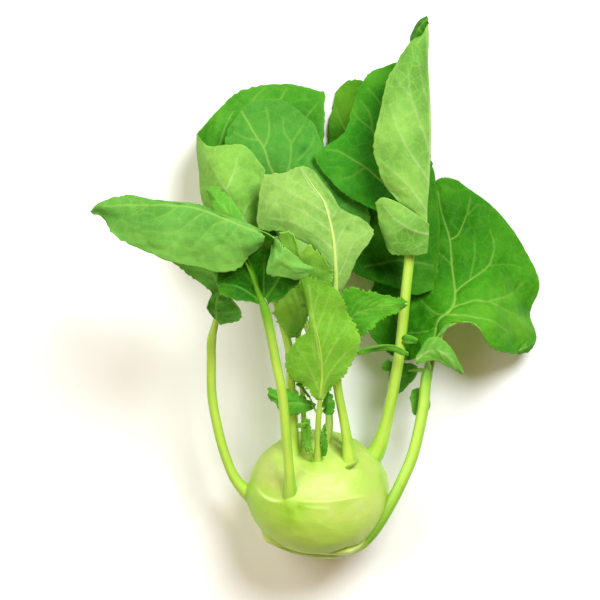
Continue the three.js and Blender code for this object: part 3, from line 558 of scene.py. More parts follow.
LEAVES = {
    "front_left": {
        "stalk": [
            (-14, -11, 58), (-14.2, 0, 63), (-16, 23, 72.5), (-17.8, 42.5, 80), (-20.5, 56, 85),
            (-23.8, 73, 91), (-26.5, 85, 95),
        ],
        "thick": (5, 4.6),
        "rib": 0.44,
        "rib_tone": -1,
        "sink": -0.01,
        "tinge": [(0, -0.6), (0.08, -0.4), (0.2, 0), (0.72, 0), (0.9, -0.5), (1, -1)],
        # The under face is a deep green that paints the shade inside the cupped fan.
        "tint": ("#74be50", "#2f8010", "#66b828"),
        "sheets": [{
            "lines": [
                [(-29.5, 88, 97.5), (-39.5, 90, 101), (-49.5, 92.5, 104)],
                [(-30, 89.8, 96.8), (-40, 97.5, 98), (-50.5, 102, 101)],
                [(-30, 91.5, 96.5), (-38, 107, 100), (-47, 120, 110)],
                [(-28.5, 92, 96.5), (-31.5, 102, 98), (-34.8, 111, 103), (-39, 124, 113)],
                [(-27, 91.5, 96.5), (-27, 108, 98), (-27, 124, 111)],
                [(-25.5, 90, 97), (-17.5, 102.5, 100), (-11, 110.5, 105)],
                [(-25, 88, 97.5), (-16.5, 92, 101), (-8.5, 100, 104)],
            ],
            "painted_light_and_blotches": [
                (-1, 8, (-34, 99)), (-0.7, 6, (-29, 108)), (0.5, 6, (-23, 117)), (-0.5, 7, (-19, 100)),
                (0.3, 5, (-46, 93)), (0.2, 5, (-13, 94)), (0.3, 6, (-28, 88)),
            ],
            "up": "under",
            "veins": [
                (1.3, [(-28.5, 91.5), (-32, 102.5), (-35.5, 111.5)]),
                (0.9, [(-27, 93), (-27, 104), (-26.5, 115)]),
                (1.2, [(-26, 91), (-21, 98), (-17, 106)]),
                (1.1, [(-30, 90), (-39, 96), (-48, 98)]),
                (0.5, [(-31, 97), (-37, 103), (-43, 107)]),
            ],
        }, {
            "lines": [
                [
                    (-28, 124.5, 108), (-44, 130.5, 110), (-61, 136.7, 110.5), (-80.8, 139.2, 110.5),
                    (-96.6, 142.3, 109.5), (-101, 141, 107.5), (-108, 138, 107),
                ],
                [
                    (-26.5, 122.5, 116), (-32, 125.8, 116), (-44.5, 130, 115.5), (-56, 134.5, 115.5),
                    (-69.3, 137.3, 115), (-82.5, 137.3, 114.5), (-98.7, 137.6, 113), (-110, 137.3, 111.5),
                    (-113.6, 134.5, 109),
                ],
                [
                    (-27, 119.5, 115), (-36, 118, 116), (-50, 119.5, 115.5), (-63, 121.5, 115.5),
                    (-80, 124.5, 114.5), (-95, 128.5, 112.5), (-106, 132.5, 110), (-113, 134.2, 109),
                ],
                [
                    (-28, 117.5, 112), (-33.5, 113.5, 110.5), (-38, 106.8, 109.5), (-48, 103.8, 109.5),
                    (-61.8, 106.3, 110.5), (-75, 110, 110.5), (-90, 115.9, 110.5), (-101.6, 122.3, 110),
                    (-107, 130, 109), (-112.5, 134, 108.5),
                ],
            ],
            "painted_light_and_blotches": [
                (0.35, 9, (-44, 109)), (0.35, 9, (-60, 111)), (0.35, 8, (-76, 115)), (0.25, 7, (-90, 120)),
                (-0.25, 8, (-58, 133)), (-0.25, 8, (-80, 136)), (-0.2, 6, (-104, 134)), (-0.2, 6, (-31, 124)),
            ],
            "veins": [
                (1.1, [(-26, 122.5), (-40, 128), (-59, 135.5), (-75, 137.5), (-89, 137.5), (-108, 137)]),
                (0.6, [
                    (-55.5, 134.5), (-61.5, 131), (-67.5, 126), (-73, 123.5), (-81.5, 124.5), (-88, 124.5),
                ]),
                (0.6, [(-44.5, 129.5), (-51.5, 128), (-56, 123.5), (-60, 119), (-64.5, 116)]),
                (0.6, [(-39, 128), (-43, 123), (-46.5, 118), (-48.5, 110)]),
                (0.4, [(-46.5, 118), (-53, 116), (-58, 112)]),
                (0.45, [(-39, 120), (-38.5, 115), (-36, 110)]),
                (0.5, [(-84.5, 137.5), (-90.5, 134), (-95, 131)]),
                (0.5, [(-70, 137), (-76.5, 132.5), (-84, 130)]),
                (0.35, [(-67.5, 126), (-72, 118), (-79, 115)]),
            ],
        }, {
            "lines": [
                [
                    (-22.4, 122, 107.5), (-18.4, 117.8, 115.5), (-13.1, 113.5, 114.5), (-7.8, 109.3, 112),
                    (-2.7, 106, 110),
                ],
                [(-22.8, 121, 107), (-19.5, 114, 116), (-15, 109, 114.5), (-9, 106, 114), (-2.9, 105.3, 110)],
                [
                    (-23.2, 119.8, 106), (-22.3, 111, 114.5), (-19.5, 106, 113.5), (-12, 103.5, 112),
                    (-3.3, 104.6, 110),
                ],
                [
                    (-23.6, 118.6, 105), (-24.2, 110.5, 111.5), (-24.8, 103, 111), (-17.4, 101, 111),
                    (-9, 100.6, 109), (-3.9, 104, 109.5),
                ],
            ],
            "painted_light_and_blotches": [(0.5, 8, (-16, 107))],
            "veins": [(0.5, [(-24, 119), (-18, 112), (-11, 107)])],
        }],
    },
    "left": {
        "stalk": [
            (-32, -9, 31), (-41, 0, 35), (-46.5, 12.5, 39), (-50.5, 27.5, 43), (-53, 42.5, 47),
            (-53.3, 60, 52), (-53, 71, 57),
        ],
        "thick": (5, 4.6),
        "under": True,
        "tint": ("#6dba48", "#8cc860"),
        "sheets": [{
            "lines": [
                [(-53, 82, 63), (-55.7, 87.5, 65), (-53, 93.5, 66), (-62, 100.5, 72), (-74, 110, 79)],
                [(-52, 81, 62.5), (-53.3, 88, 64), (-52, 95, 66.5), (-59, 105, 73), (-74, 117, 80)],
                [(-51, 80, 62), (-50.8, 89, 64), (-50.5, 97, 68), (-56, 109, 74.5), (-73, 123, 81.5)],
                [(-50, 79, 62.5), (-45.5, 85, 65), (-47.5, 95.5, 68.5), (-51, 109, 75), (-71, 127, 83)],
                [(-49, 77.5, 63), (-38.5, 81, 67), (-43.5, 93, 69), (-44, 104, 73), (-68, 131, 84)],
            ],
            "painted_light_and_blotches": [(-0.7, 9, (-48, 87)), (0.3, 7, (-60, 108))],
            "side_veins": 5,
            "tooth": 0.35,
        }],
    },
    "upper_left": {
        "stalk": [
            (-12.5, 13, 48), (-12.5, 30, 51), (-13.5, 47.5, 54), (-14.5, 65, 56), (-17.5, 77.5, 57),
            (-23, 95, 56),
        ],
        "thick": (4.6, 4),
        "under": True,
        "tint": ("#4da428", "#8ccc54"),
        "sheets": [{
            "lines": [
                [(-37, 121, 47), (-56, 135.5, 45), (-59.5, 155, 40), (-60.5, 173, 30)],
                [(-35.5, 123, 52), (-48, 141, 55), (-54, 157.5, 51), (-55, 167, 42)],
                [(-34, 124, 54), (-43.5, 142.5, 59), (-44, 157.5, 57), (-45, 167.5, 50)],
                [(-32, 124.5, 53), (-36, 140, 57), (-36, 155, 56), (-36, 166.5, 51)],
                [(-30, 124, 51), (-30, 137.5, 52), (-27.5, 146.5, 51), (-26.5, 154.5, 49)],
            ],
            "painted_light_and_blotches": [
                (0.2, 10, (-45, 155)), (-0.25, 9, (-54, 135)), (-0.3, 6, (-30, 140)),
                (-0.4, 2.5, (-37.5, 158)),
            ],
            "fold": 0,
            "up": "under",
            "tooth": 0.3,
            "veins": [
                (1.1, [(-35.5, 127.5), (-41.5, 137), (-45.5, 145)]),
                (0.7, [(-45.5, 145), (-42.5, 153), (-40, 161.5)]),
                (0.6, [(-45.5, 145), (-48.5, 149), (-53.5, 158)]),
                (0.6, [(-38, 131), (-35.5, 137), (-32, 141.5)]),
                (0.5, [(-43, 139), (-49, 143), (-56, 146)]),
            ],
        }, {
            "lines": [
                [
                    (-37, 121, 47), (-50, 130, 46), (-57, 141, 44), (-59.5, 155, 40), (-60.5, 165, 34),
                    (-60.5, 173, 30),
                ],
                [
                    (-36, 120, 46.5), (-39, 126, 35), (-46, 140, 28), (-50, 155, 24), (-52, 167.5, 17),
                    (-49.5, 185.5, 6),
                ],
                [
                    (-35, 119.5, 46), (-32, 125, 30), (-34, 140, 22), (-34, 155, 20), (-36.5, 175, 10),
                    (-37.5, 195, 1.5),
                ],
                [
                    (-33.5, 119, 46), (-27, 123, 26), (-18, 135, 19), (-16.5, 155, 16), (-16.5, 177.5, 8),
                    (-16, 198, 0.6),
                ],
                [(-32, 118.5, 46), (-24, 121, 26), (-5, 129, 18), (1, 152, 14), (3, 172, 10), (3.5, 194, 4)],
            ],
            "painted_light_and_blotches": [
                (-0.35, 8, (-46, 172)), (0.4, 8, (-53, 181)), (-0.3, 9, (-12, 178)), (-0.35, 7, (-2, 160)),
                (0.15, 8, (-30, 192)),
            ],
            "fold": 0,
            "veins": [
                (0.8, [(-49, 168), (-46.5, 176.5), (-42.5, 184)]),
                (0.8, [(-24, 180), (-19, 189.5), (-15.5, 196)]),
                (0.7, [(-9, 174), (-5.5, 182), (0, 188.5)]),
                (0.6, [(-34, 186), (-31, 192), (-26, 196)]),
            ],
        }],
    },
    "upper_middle": {
        "stalk": [(4, 18, 42), (5.5, 32.5, 40), (0, 60, 35), (-8, 85, 30)],
        "thick": (3.4, 3.4),
        "flare": 0.5,
        "under": True,
        "tint": ("#4fa235", "#98cc6c"),
        "sheets": [{
            "lines": [
                [(-13, 100, 31), (-20, 122, 33), (-39, 150, 33.5), (-46, 167, 28), (-45, 175, 25)],
                [(-12, 100, 30.5), (-16, 124, 32.5), (-31, 151, 33.5), (-39, 169, 29.5), (-40, 182, 24)],
                [(-11, 100, 30.5), (-12, 125, 32), (-22, 152.5, 32.5), (-29, 171, 29), (-33, 189, 21)],
                [(-10, 100, 30.5), (0, 120, 32), (0, 145, 33), (-10, 168, 29), (-18, 190, 20)],
                [(-9, 100, 31), (13.5, 114, 31), (26, 131, 30), (7, 160, 27), (-3, 179, 21)],
            ],
            "painted_light_and_blotches": [
                (-0.25, 8, (8, 150)), (0.12, 12, (-25, 172)), (-0.4, 9, (10, 128)), (-0.6, 2.2, (-7, 165)),
                (-0.5, 1.8, (-8.5, 159)),
            ],
            "veins": [
                (1.3, [(-18, 135), (-22, 152.5), (-24.5, 158), (-27, 166), (-32.5, 174.5), (-38, 184)]),
                (0.7, [(-27, 166), (-24.5, 173), (-24.5, 179), (-26, 186.5)]),
                (0.7, [(-18, 150), (-14.5, 156.5), (-13.5, 168), (-17, 174.5), (-17.5, 181.5)]),
                (0.5, [(-13.5, 168), (-9, 175), (-6, 179)]),
                (0.5, [(-10, 160), (-3.5, 167), (-2, 172)]),
                (0.6, [(-30, 170), (-36, 171), (-42, 174)]),
                (0.6, [(-5, 140), (5, 150), (8, 157)]),
                (0.5, [(2, 132), (14, 138), (20, 140)]),
            ],
        }],
    },
    "middle": {
        "stalk": [
            (16, 8, 50), (15, 17, 53), (13, 29.5, 57), (10.5, 42, 61), (9, 52, 64), (8.5, 66, 69),
            (8.5, 80, 73),
        ],
        "thick": (4.8, 4),
        "tint": ("#6cb848", "#97cb62"),
        "sheets": [{
            "lines": [
                [
                    (6.5, 95, 74), (1.5, 110, 74.5), (-9, 119.5, 74), (-18, 124.3, 72.5), (-29, 125.8, 69),
                    (-30, 140, 66), (-26.5, 152.8, 64),
                ],
                [
                    (7.5, 95, 75), (3, 112, 77.5), (-8, 127, 77.5), (-17, 136, 75), (-20.5, 144, 72),
                    (-17.5, 153.5, 68),
                ],
                [
                    (9, 95, 75), (8.5, 112, 78.5), (7, 125, 79.5), (3, 139, 79), (-2.5, 147, 76),
                    (-8.5, 156.8, 71),
                ],
                [
                    (10.5, 95, 75), (14.5, 113, 77.5), (16.5, 124, 76.5), (12.5, 133, 76), (5, 142, 74),
                    (-2.8, 155, 70),
                ],
                [
                    (12, 95, 74), (20.6, 111.8, 74), (27.8, 124.5, 70), (21, 130.5, 72), (10.5, 136.6, 74),
                    (1.2, 151.3, 69),
                ],
            ],
            "painted_light_and_blotches": [
                (0.2, 10, (-10, 140)), (0.15, 8, (16, 118)), (-0.25, 5, (-24, 128)), (-0.25, 6, (0, 108)),
                (-0.2, 9, (8, 130)), (-0.2, 5, (10, 138)), (-0.7, 1.6, (14.5, 126)), (-0.3, 3, (-4, 154)),
            ],
            "valley": 0.15,
            "up": "under",
            "veins": [
                (1.2, [(9, 95), (9, 115), (7, 125), (4.5, 137), (1.5, 141.5), (-3.5, 147), (-8.5, 156)]),
                (0.6, [(9, 106), (0, 115), (-8, 121), (-17, 124)]),
                (0.6, [(8, 115), (-3, 124), (-13, 129), (-26, 131)]),
                (0.6, [(7, 124), (-4, 132), (-14, 137), (-27, 140)]),
                (0.6, [(5, 133), (-5, 139), (-14, 144), (-23, 149)]),
                (0.5, [(1.5, 141), (-6, 146), (-13, 150), (-17, 153)]),
                (0.6, [(9.5, 101), (14, 110), (18, 119), (25, 124)]),
                (0.5, [(8.5, 116), (12, 124), (16, 130)]),
                (0.5, [(6, 130), (9, 134), (10, 137)]),
            ],
        }],
    },
    "small_back": {
        "stalk": [(-7, 18, 45), (-7.5, 40, 49), (-9.5, 60, 54)],
        "thick": (2.6, 2.4),
        "under": True,
        "tint": ("#84ca44", "#8ad042", "#c4e67c"),
        "sheets": [{
            "lines": [
                [(-13, 71, 60), (-22, 82, 63), (-19, 93, 69), (-20, 108, 77), (-19, 124.4, 84)],
                [(-12.2, 71, 60.2), (-15, 82, 64.5), (-13.5, 93, 71), (-13.5, 108, 79), (-12.5, 123, 85)],
                [(-11.4, 71, 60.4), (-10.5, 82, 65), (-9.5, 93, 72), (-9, 104, 78.5), (-8.8, 113.3, 82.5)],
                [(-10.6, 71, 60.4), (-8.5, 82, 65), (-6, 93, 72.5), (-5, 105, 80), (-4.5, 116.8, 85)],
                [(-9.8, 71, 60.2), (-7, 81.5, 65), (-3, 92, 73), (1, 102, 79.5), (1, 113.4, 84)],
                [
                    (-9, 71, 60), (-5.5, 81, 65), (-0.5, 91, 73), (6.3, 98.5, 80), (6.8, 104, 81.5),
                    (3.5, 111.8, 83.5),
                ],
            ],
            "side_veins": 5,
            "rise": 0.5,
            "painted_light_and_blotches": [
                (0.6, 8, (-4, 112)), (0.4, 5, (-15, 120)), (0.9, 9, (-13, 87)), (-0.1, 5, (-1, 92)),
                (0.4, 6, (-20, 84)),
            ],
            "tooth": 1.0,
            "pitch": 5,
        }],
    },
    "tall_right": {
        "stalk": [
            (23, 8, 27), (29, 14, 29), (33, 25, 32.5), (36, 37.5, 36), (38.5, 50, 38.5), (41, 65, 41),
            (42.5, 79, 43), (44.3, 98, 45),
        ],
        "run_on": [(45.3, 107, 46), (46.3, 114, 47.5)],
        "thick": (6.2, 5),
        "rib": 0.71,
        "under": True,
        "tint": ("#3a9a1c", "#8ecb5a"),
        "sheets": [{
            "lines": [
                [
                    (50, 133, 53.5), (40.8, 139.6, 54), (34, 146, 54), (30.5, 156, 55), (27.5, 165.3, 56),
                    (29.5, 177, 57), (32, 190, 57), (36, 202.5, 56), (42.4, 214.3, 54), (48.2, 220, 52),
                    (54.2, 226, 50.5),
                ],
                [
                    (51.5, 129, 53.4), (44, 142, 57), (38, 165, 60), (39, 190, 60), (46, 212, 57),
                    (54.4, 227, 51),
                ],
                [
                    (53, 123, 53.2), (50, 142, 57), (47.5, 165, 60), (48, 190, 59), (51, 212, 56),
                    (54.7, 228, 51),
                ],
                TALL_FOLD,
            ],
            "painted_light_and_blotches": [
                (0.3, 12, (42, 150)), (0.25, 12, (44, 180)), (-0.6, 14, (50, 208)), (-0.3, 8, (53, 170)),
                (-0.3, 8, (52, 190)), (-0.2, 6, (38, 160)), (-0.2, 5, (36, 184)),
            ],
            "fold": 1,
            "up": "under",
            "tooth": 0.4,
            "veins": [
                (1.1, [(48, 112), (54, 127), (55.5, 150), (55.7, 187.5), (54.2, 226)]),
                (0.7, [(55, 165), (53, 172.5), (46.5, 191), (45, 205)]),
                (0.7, [(54.5, 150), (48.5, 159.5), (40, 175), (36, 188)]),
                (0.7, [(54.5, 134), (46, 146), (38, 154), (31, 160)]),
                (0.5, [(55.5, 185), (52, 198), (49.5, 212)]),
                (0.4, [(46.5, 191), (41, 198), (39, 203)]),
                (0.4, [(46, 146), (38, 145), (31, 148)]),
            ],
        }, {
            "lines": [
                [(54.6, 113.5, 52.5), (45.7, 112.3, 53), (37.4, 113, 52.5), (33.5, 120, 52)],
                [(55, 117, 53), (46, 120, 56), (37, 122, 55.5), (31, 126, 53)],
                [(55.4, 122, 53), (47, 127.5, 58), (38, 132, 57.5), (29.5, 134.7, 54.5)],
                [(55.6, 128, 53), (49, 133, 57), (40.5, 138.5, 58), (32.5, 141.3, 57), (28.7, 138.8, 55.5)],
            ],
            "painted_light_and_blotches": [(-0.5, 9, (36, 119)), (-0.45, 9, (48, 122)), (0.15, 5, (38, 135))],
            "fold": 1,
            "up": "under",
            "tooth": 0.4,
            "veins": [
                (0.8, [(54.8, 123), (50, 124), (43.5, 127), (38, 131), (33, 137)]),
                (0.5, [(43.5, 127), (39, 124), (34, 123)]),
                (0.4, [(52, 118), (46, 115), (40, 115)]),
            ],
        }, {
            "lines": [
                TALL_FOLD,
                [
                    (42, 124, 42), (42, 137.5, 41.5), (41, 165, 41), (41, 192.5, 41), (45, 209, 43),
                    (52, 221, 46.5),
                ],
                [
                    (35, 130, 38), (27, 142, 37.5), (20, 152, 36.5), (14, 162, 35), (21, 176, 34),
                    (26, 190, 35), (34, 201, 37), (46, 211.5, 42),
                ],
                [
                    (27.5, 136, 37), (18.4, 139.8, 37), (12.5, 143.8, 36.5), (5, 151.3, 36), (-1.5, 161, 34),
                    (5, 167.8, 33), (14, 174.3, 32), (17.5, 188.6, 32), (22.9, 199.3, 33), (27.5, 204.7, 35),
                    (38.5, 207.5, 38),
                ],
            ],
            "painted_light_and_blotches": [
                (-0.7, 7, (33, 192)), (-0.6, 6, (37, 178)), (-0.4, 12, (34, 150)), (-0.4, 8, (26, 172)),
                (0.6, 8, (29, 200)), (0.5, 9, (11, 186)), (0.15, 5, (8, 150)), (-0.4, 6, (20, 166)),
            ],
            "fold": 0,
            "veins": [
                (0.8, [(36, 146), (31, 150), (23.5, 156.5), (17, 160.5), (10, 164.5), (4, 165)]),
                (0.6, [(31, 168), (27, 175), (20, 181), (17, 186)]),
                (0.6, [(36, 182), (30, 190), (25, 196)]),
                (0.5, [(23.5, 156.5), (17, 152), (11, 150)]),
                (0.5, [(27, 175), (26, 183), (21, 190)]),
            ],
        }],
    },
    "low_right": {
        "stalk": [
            (24, 6, 20), (29, 15, 18), (33.5, 27, 20), (36.5, 40, 24), (38.8, 52, 28), (41, 66, 31.5),
            (42.8, 82, 33.5),
        ],
        "thick": (4, 3.6),
        "rib": 0.625,
        "under": True,
        "tint": ("#3a8c10", "#7cbc4c"),
        "sheets": [{
            "lines": [
                [(17, 104, 28), (17, 127.5, 22), (7, 155, 10), (5.5, 176, 3), (9, 194, 1)],
                [(26, 100, 30), (28.5, 127.5, 25), (22, 155, 16), (16, 177.5, 7), (15, 199.5, 1.5)],
                [(37, 96.5, 33), (41, 127.5, 27), (38.5, 155, 20), (33.5, 177.5, 11), (23, 199, 4)],
                [(48, 92.5, 31), (51, 127.5, 25), (50, 155, 18), (43.5, 175, 12), (32, 193, 7)],
                [
                    (57.5, 95, 29), (60.2, 110, 25), (60.2, 135.5, 20), (56.5, 161, 16), (50, 173, 12.5),
                    (38, 186, 9),
                ],
            ],
            "veins": [
                (0.7, [(44.5, 106), (42, 110), (30, 108), (23, 106.5)]),
                (0.6, [(44.5, 106), (48.5, 109), (57.5, 107)]),
                (0.6, [(18, 170), (12, 178), (9, 186)]),
            ],
            "painted_light_and_blotches": [
                (-0.9, 9, (24, 110)), (-0.8, 7, (36, 104)), (-0.9, 8, (34, 94)), (0.3, 3, (28, 99)),
                (-0.3, 9, (54, 120)), (0.9, 11, (12, 188)),
            ],
            "ripple": 0.6,
        }],
    },
    "broad_right": {
        "stalk": [
            (-23.5, -31.3, 35.5), (-12, -35.2, 36), (0, -36.5, 36.3), (10, -35.9, 36.8), (18, -33.9, 37.5),
            (24, -29.7, 38), (30.5, -21.5, 39), (38, -8.5, 39), (44, 4, 39), (47.5, 13, 39), (50.5, 25, 39),
            (52.8, 38, 39), (54.5, 52.5, 39),
        ],
        "thick": (6.4, 5.6),
        "flare": 0,
        "taper": 0.14,
        "tinge": [
            (0, 0.9), (0.28, 0.8), (0.36, -0.8), (0.5, -0.6), (0.65, -0.15), (0.9, -0.1), (0.96, -0.4),
            (1, -1),
        ],
        "under": True,
        "tint": ("#459c18", "#80c050"),
        "sheets": [{
            "lines": [
                [
                    (53, 62, 44), (44, 60, 30), (33.3, 65, 24.5), (25, 75, 21.5), (25.6, 90, 17),
                    (33.5, 112.5, 11), (43.5, 129, 7), (57, 148, 4),
                ],
                [
                    (54.5, 64.5, 44), (47, 70, 32), (42, 82.5, 24.5), (43.5, 99, 18), (48.5, 115, 13),
                    (53.5, 130, 8), (59, 149.5, 4),
                ],
                [
                    (56.5, 67, 43.5), (60, 79, 40), (67, 88.5, 33), (68.5, 101, 24), (66.5, 116, 16),
                    (64.5, 131, 10), (62, 151, 4),
                ],
                [
                    (58.5, 70, 44), (70, 79.5, 44), (86, 81, 38), (92, 95, 22), (86, 112.5, 12), (77, 130, 8),
                    (66, 151, 3),
                ],
                [
                    (60, 73, 44), (66, 79, 44.5), (79, 77, 45), (88, 66, 41), (99, 63.2, 24),
                    (108.3, 68.5, 12), (106.3, 83, 4), (110.3, 98, 0.6), (103, 116.5, 0.6),
                    (86.4, 137.2, 0.8), (70, 149.7, 2),
                ],
            ],
            "veins": [
                (1.2, [
                    (57.5, 71.5), (60, 80), (67, 87), (68.5, 95), (67, 107.5), (66, 120.5), (62, 133.5),
                    (60, 144),
                ]),
                (0.7, [(66, 120.5), (70.5, 123.5), (75, 134), (76, 141)]),
                (0.4, [(74, 132), (78, 136), (80, 138)]),
                (0.8, [(68.5, 95), (76, 100.5), (85.5, 107.5), (88.5, 118), (86, 125)]),
                (0.45, [(76, 100.5), (78.5, 112.5), (78, 122)]),
                (0.7, [(67, 87), (77, 90), (85.5, 90), (97, 93), (102, 98.5)]),
                (0.45, [(85.5, 90), (97, 84), (104, 80)]),
                (0.7, [(62, 83.5), (74, 83), (86.5, 79.5), (95, 73.5)]),
                (0.6, [(61.5, 83), (56, 85.5), (50.5, 91)]),
                (0.5, [(58, 76.5), (52, 74), (45.5, 73.5), (38, 70)]),
                (0.35, [(85.5, 107.5), (96, 108), (103, 106)]),
                (0.45, [(67, 108), (60, 114), (55, 118)]),
            ],
            "painted_light_and_blotches": [
                (-0.6, 10, (62, 130)), (-0.5, 7, (62, 107)), (-0.7, 9, (76, 129)), (0.5, 7, (82, 84)),
                (0.3, 8, (95, 90)), (0.5, 5, (70, 81)), (-0.5, 2.5, (98, 71)), (0.35, 5, (84, 73)),
                (0.9, 7, (100, 76)), (-0.4, 4, (104, 86)), (-0.5, 3, (95, 64)), (-0.6, 8, (52, 83)),
                (-0.5, 9, (39, 69)), (-0.4, 5, (92, 108)), (-0.3, 6, (84, 120)), (-0.3, 6, (74, 104)),
            ],
            "valley": 1.5,
            "pucker": 1.8,
            "wave": 30,
            "tooth": 0.3,
        }],
    },
    "small_front": {
        "stalk": [(0, 10, 53), (0, 23, 61), (0.5, 34, 68)],
        "thick": (3.4, 2.8),
        "rib_tone": -0.4,
        "tint": ("#5eae2c", "#86cc3c", "#b8e270"),
        "sheets": [{
            "lines": [
                [
                    (-0.5, 40, 71.5), (-7, 46.5, 73), (-13.5, 51, 74.5), (-16.2, 61, 76), (-10.5, 70.8, 79),
                    (-3.8, 73, 81.5), (-5, 84, 84), (-8.5, 92, 87), (-10, 97.7, 89),
                ],
                [
                    (1, 40.5, 73), (2, 52.5, 77), (1.5, 62.5, 81), (0, 71.5, 84), (-2.5, 82.5, 87),
                    (-4.5, 94, 90), (-5.2, 101.5, 91),
                ],
                [
                    (2.5, 40, 72), (9, 48.5, 73), (15.5, 56, 74.5), (20.5, 66, 76), (19.8, 75, 77.5),
                    (15, 84, 80), (11.5, 92, 84), (5.5, 98.5, 88),
                ],
            ],
            "veins": [
                (1.5, [(1.7, 34), (2.1, 47.4), (1.3, 59), (-0.4, 69.5), (-2.8, 83), (-4.7, 97.3)]),
                (0.8, [(1, 43.6), (-2.3, 51.3), (-6.2, 60), (-11, 67.6)]),
                (0.7, [(0.1, 48.4), (-7.1, 53.2), (-13.9, 57)]),
                (0.7, [(1.3, 55), (-1.9, 62.8), (-3.1, 69.5)]),
                (0.8, [(2.9, 47.4), (5.3, 53.2), (13, 62.8), (17.8, 66.6)]),
                (0.8, [(2.3, 57), (7.3, 66.6), (12, 74.3), (16, 80)]),
                (0.7, [(1, 64.7), (4.4, 72.4), (7.3, 82), (11.1, 88.7)]),
                (0.6, [(-0.9, 74.3), (2.5, 84), (5.3, 92.5)]),
                (0.6, [(-2.8, 83), (-0.4, 91.6), (0, 98)]),
                (0.5, [(-6.2, 60), (-9.5, 60.5), (-14, 63)]),
                (0.5, [(5.3, 53.2), (10, 54), (14, 57.5)]),
                (0.5, [(-1.4, 75.3), (-3.6, 82), (-7, 89)]),
            ],
            "up": "under",
            "valley": 0.05,
            "pucker": 0.5,
            "tooth": 1.0,
            "pitch": 4.5,
        }],
    },
    "small_right": {
        "stalk": [(14.2, 15, 44), (13, 28, 47), (11, 42, 50), (10.6, 58, 55)],
        "thick": (2.8, 2.4),
        "flare": 0.5,
        "under": True,
        "tint": ("#60be2c", "#86ca4a", "#b0dc70"),
        "sheets": [{
            "lines": [
                [(11, 70, 62), (12, 94, 68), (27, 94, 66), (43.5, 90, 60)],
                [(12.5, 68.5, 62), (17, 81, 66), (28.5, 86.5, 64), (44.5, 88, 60)],
                [(14.5, 67, 61), (22, 72, 62), (33.5, 81, 61), (43, 85.5, 59)],
            ],
            "side_veins": 6,
            "rise": 0.45,
            "painted_light_and_blotches": [(-0.7, 5, (12, 84)), (-0.5, 4, (44, 87))],
            "tooth": 1.0,
            "pitch": 5,
        }],
    },
}

LEAFLETS = {
    "curled_lobe": {
        "tint": ("#6cbc3a", "#8ccc55"),
        "lines": [
            [(19.5, 65, 58), (28.5, 67.5, 56), (37, 67, 54), (45, 64.5, 52)],
            [(20, 62.5, 57), (28.5, 64, 54), (37.5, 64.5, 51.5), (45.5, 62, 50.5)],
        ],
        "tooth": 0.4,
    },
    "crown_lobe": {
        "tint": ("#5ab42e", "#6db54a"),
        "lines": [
            [(-1, 38, 63), (-8, 42, 65.5), (-15, 44.8, 66.5), (-25, 45.8, 66)],
            [(-1.2, 36.8, 63.5), (-10, 38.5, 66.5), (-17, 39.5, 67), (-25, 43.5, 65.5)],
            [(-1.5, 35.8, 62.5), (-8, 33.8, 64.5), (-14.5, 32.5, 65.5), (-20, 35.8, 65), (-24, 41.5, 64)],
        ],
        "tooth": 0.9,
        "pitch": 4,
        "side_veins": 4,
    },
    "crown_leaflet": {
        "tint": ("#72c43c", "#9cd860"),
        "lines": [
            [(-6, 14, 57), (-8, 21, 59), (-7, 30, 61)],
            [(-4, 14.5, 58), (-5.5, 22, 60), (-5, 31, 61.5)],
            [(-2.6, 15, 57.5), (-3.4, 22, 59.5), (-4, 30, 61.5)],
        ],
        "tooth": 0.7,
        "pitch": 2,
        "side_veins": 3,
    },
    "upper_leaflet": {
        "tint": ("#66bb38", "#93cc5f"),
        "lines": [
            [(-38, 121, 70), (-50, 133, 69), (-55, 142, 67)],
            [(-36, 122, 72), (-46.5, 136, 71), (-55.5, 145, 68)],
            [(-34, 124, 70), (-43, 140, 69), (-50.5, 147, 67)],
        ],
        "tooth": 1.0,
        "pitch": 4,
        "side_veins": 4,
    },
    "ear_lobe": {
        "tint": ("#58a832", "#6cb83c"),
        "lines": [
            [(49, 62, 47.5), (56, 71, 50), (64, 69, 50), (73, 54, 46.5)],
            [(49, 60, 48), (57, 65, 51), (64.5, 62, 50.5), (72.5, 53, 46.5)],
            [(49, 58, 47.5), (57, 59.5, 50), (65, 57, 48.5), (71.5, 52.5, 46)],
        ],
        "up": "under",
        "tooth": 0.3,
        "side_veins": 4,
    },
    "lower_lobe": {
        "tint": ("#5cb034", "#6db24e"),
        "lines": [
            [(49.5, 57, 35), (44, 58.5, 26), (36.5, 55, 22)],
            [(49, 54.5, 34), (43.5, 52, 26), (35.5, 50, 21)],
            [(48.5, 51.5, 34), (45, 47, 27), (40.5, 43, 22)],
        ],
        "side_veins": 3,
    },
    "stalk_leaflet": {
        "tint": ("#58ab2c", "#78bb50"),
        "lines": [
            [(47, 45, 34.5), (46, 40, 33.5), (48, 33, 33.5)],
            [(51, 46, 35), (51, 39, 34.5), (51, 32, 34.5)],
            [(54.5, 44, 34.5), (56, 38.5, 34), (54.5, 32, 34)],
        ],
        "side_veins": 3,
    },
}

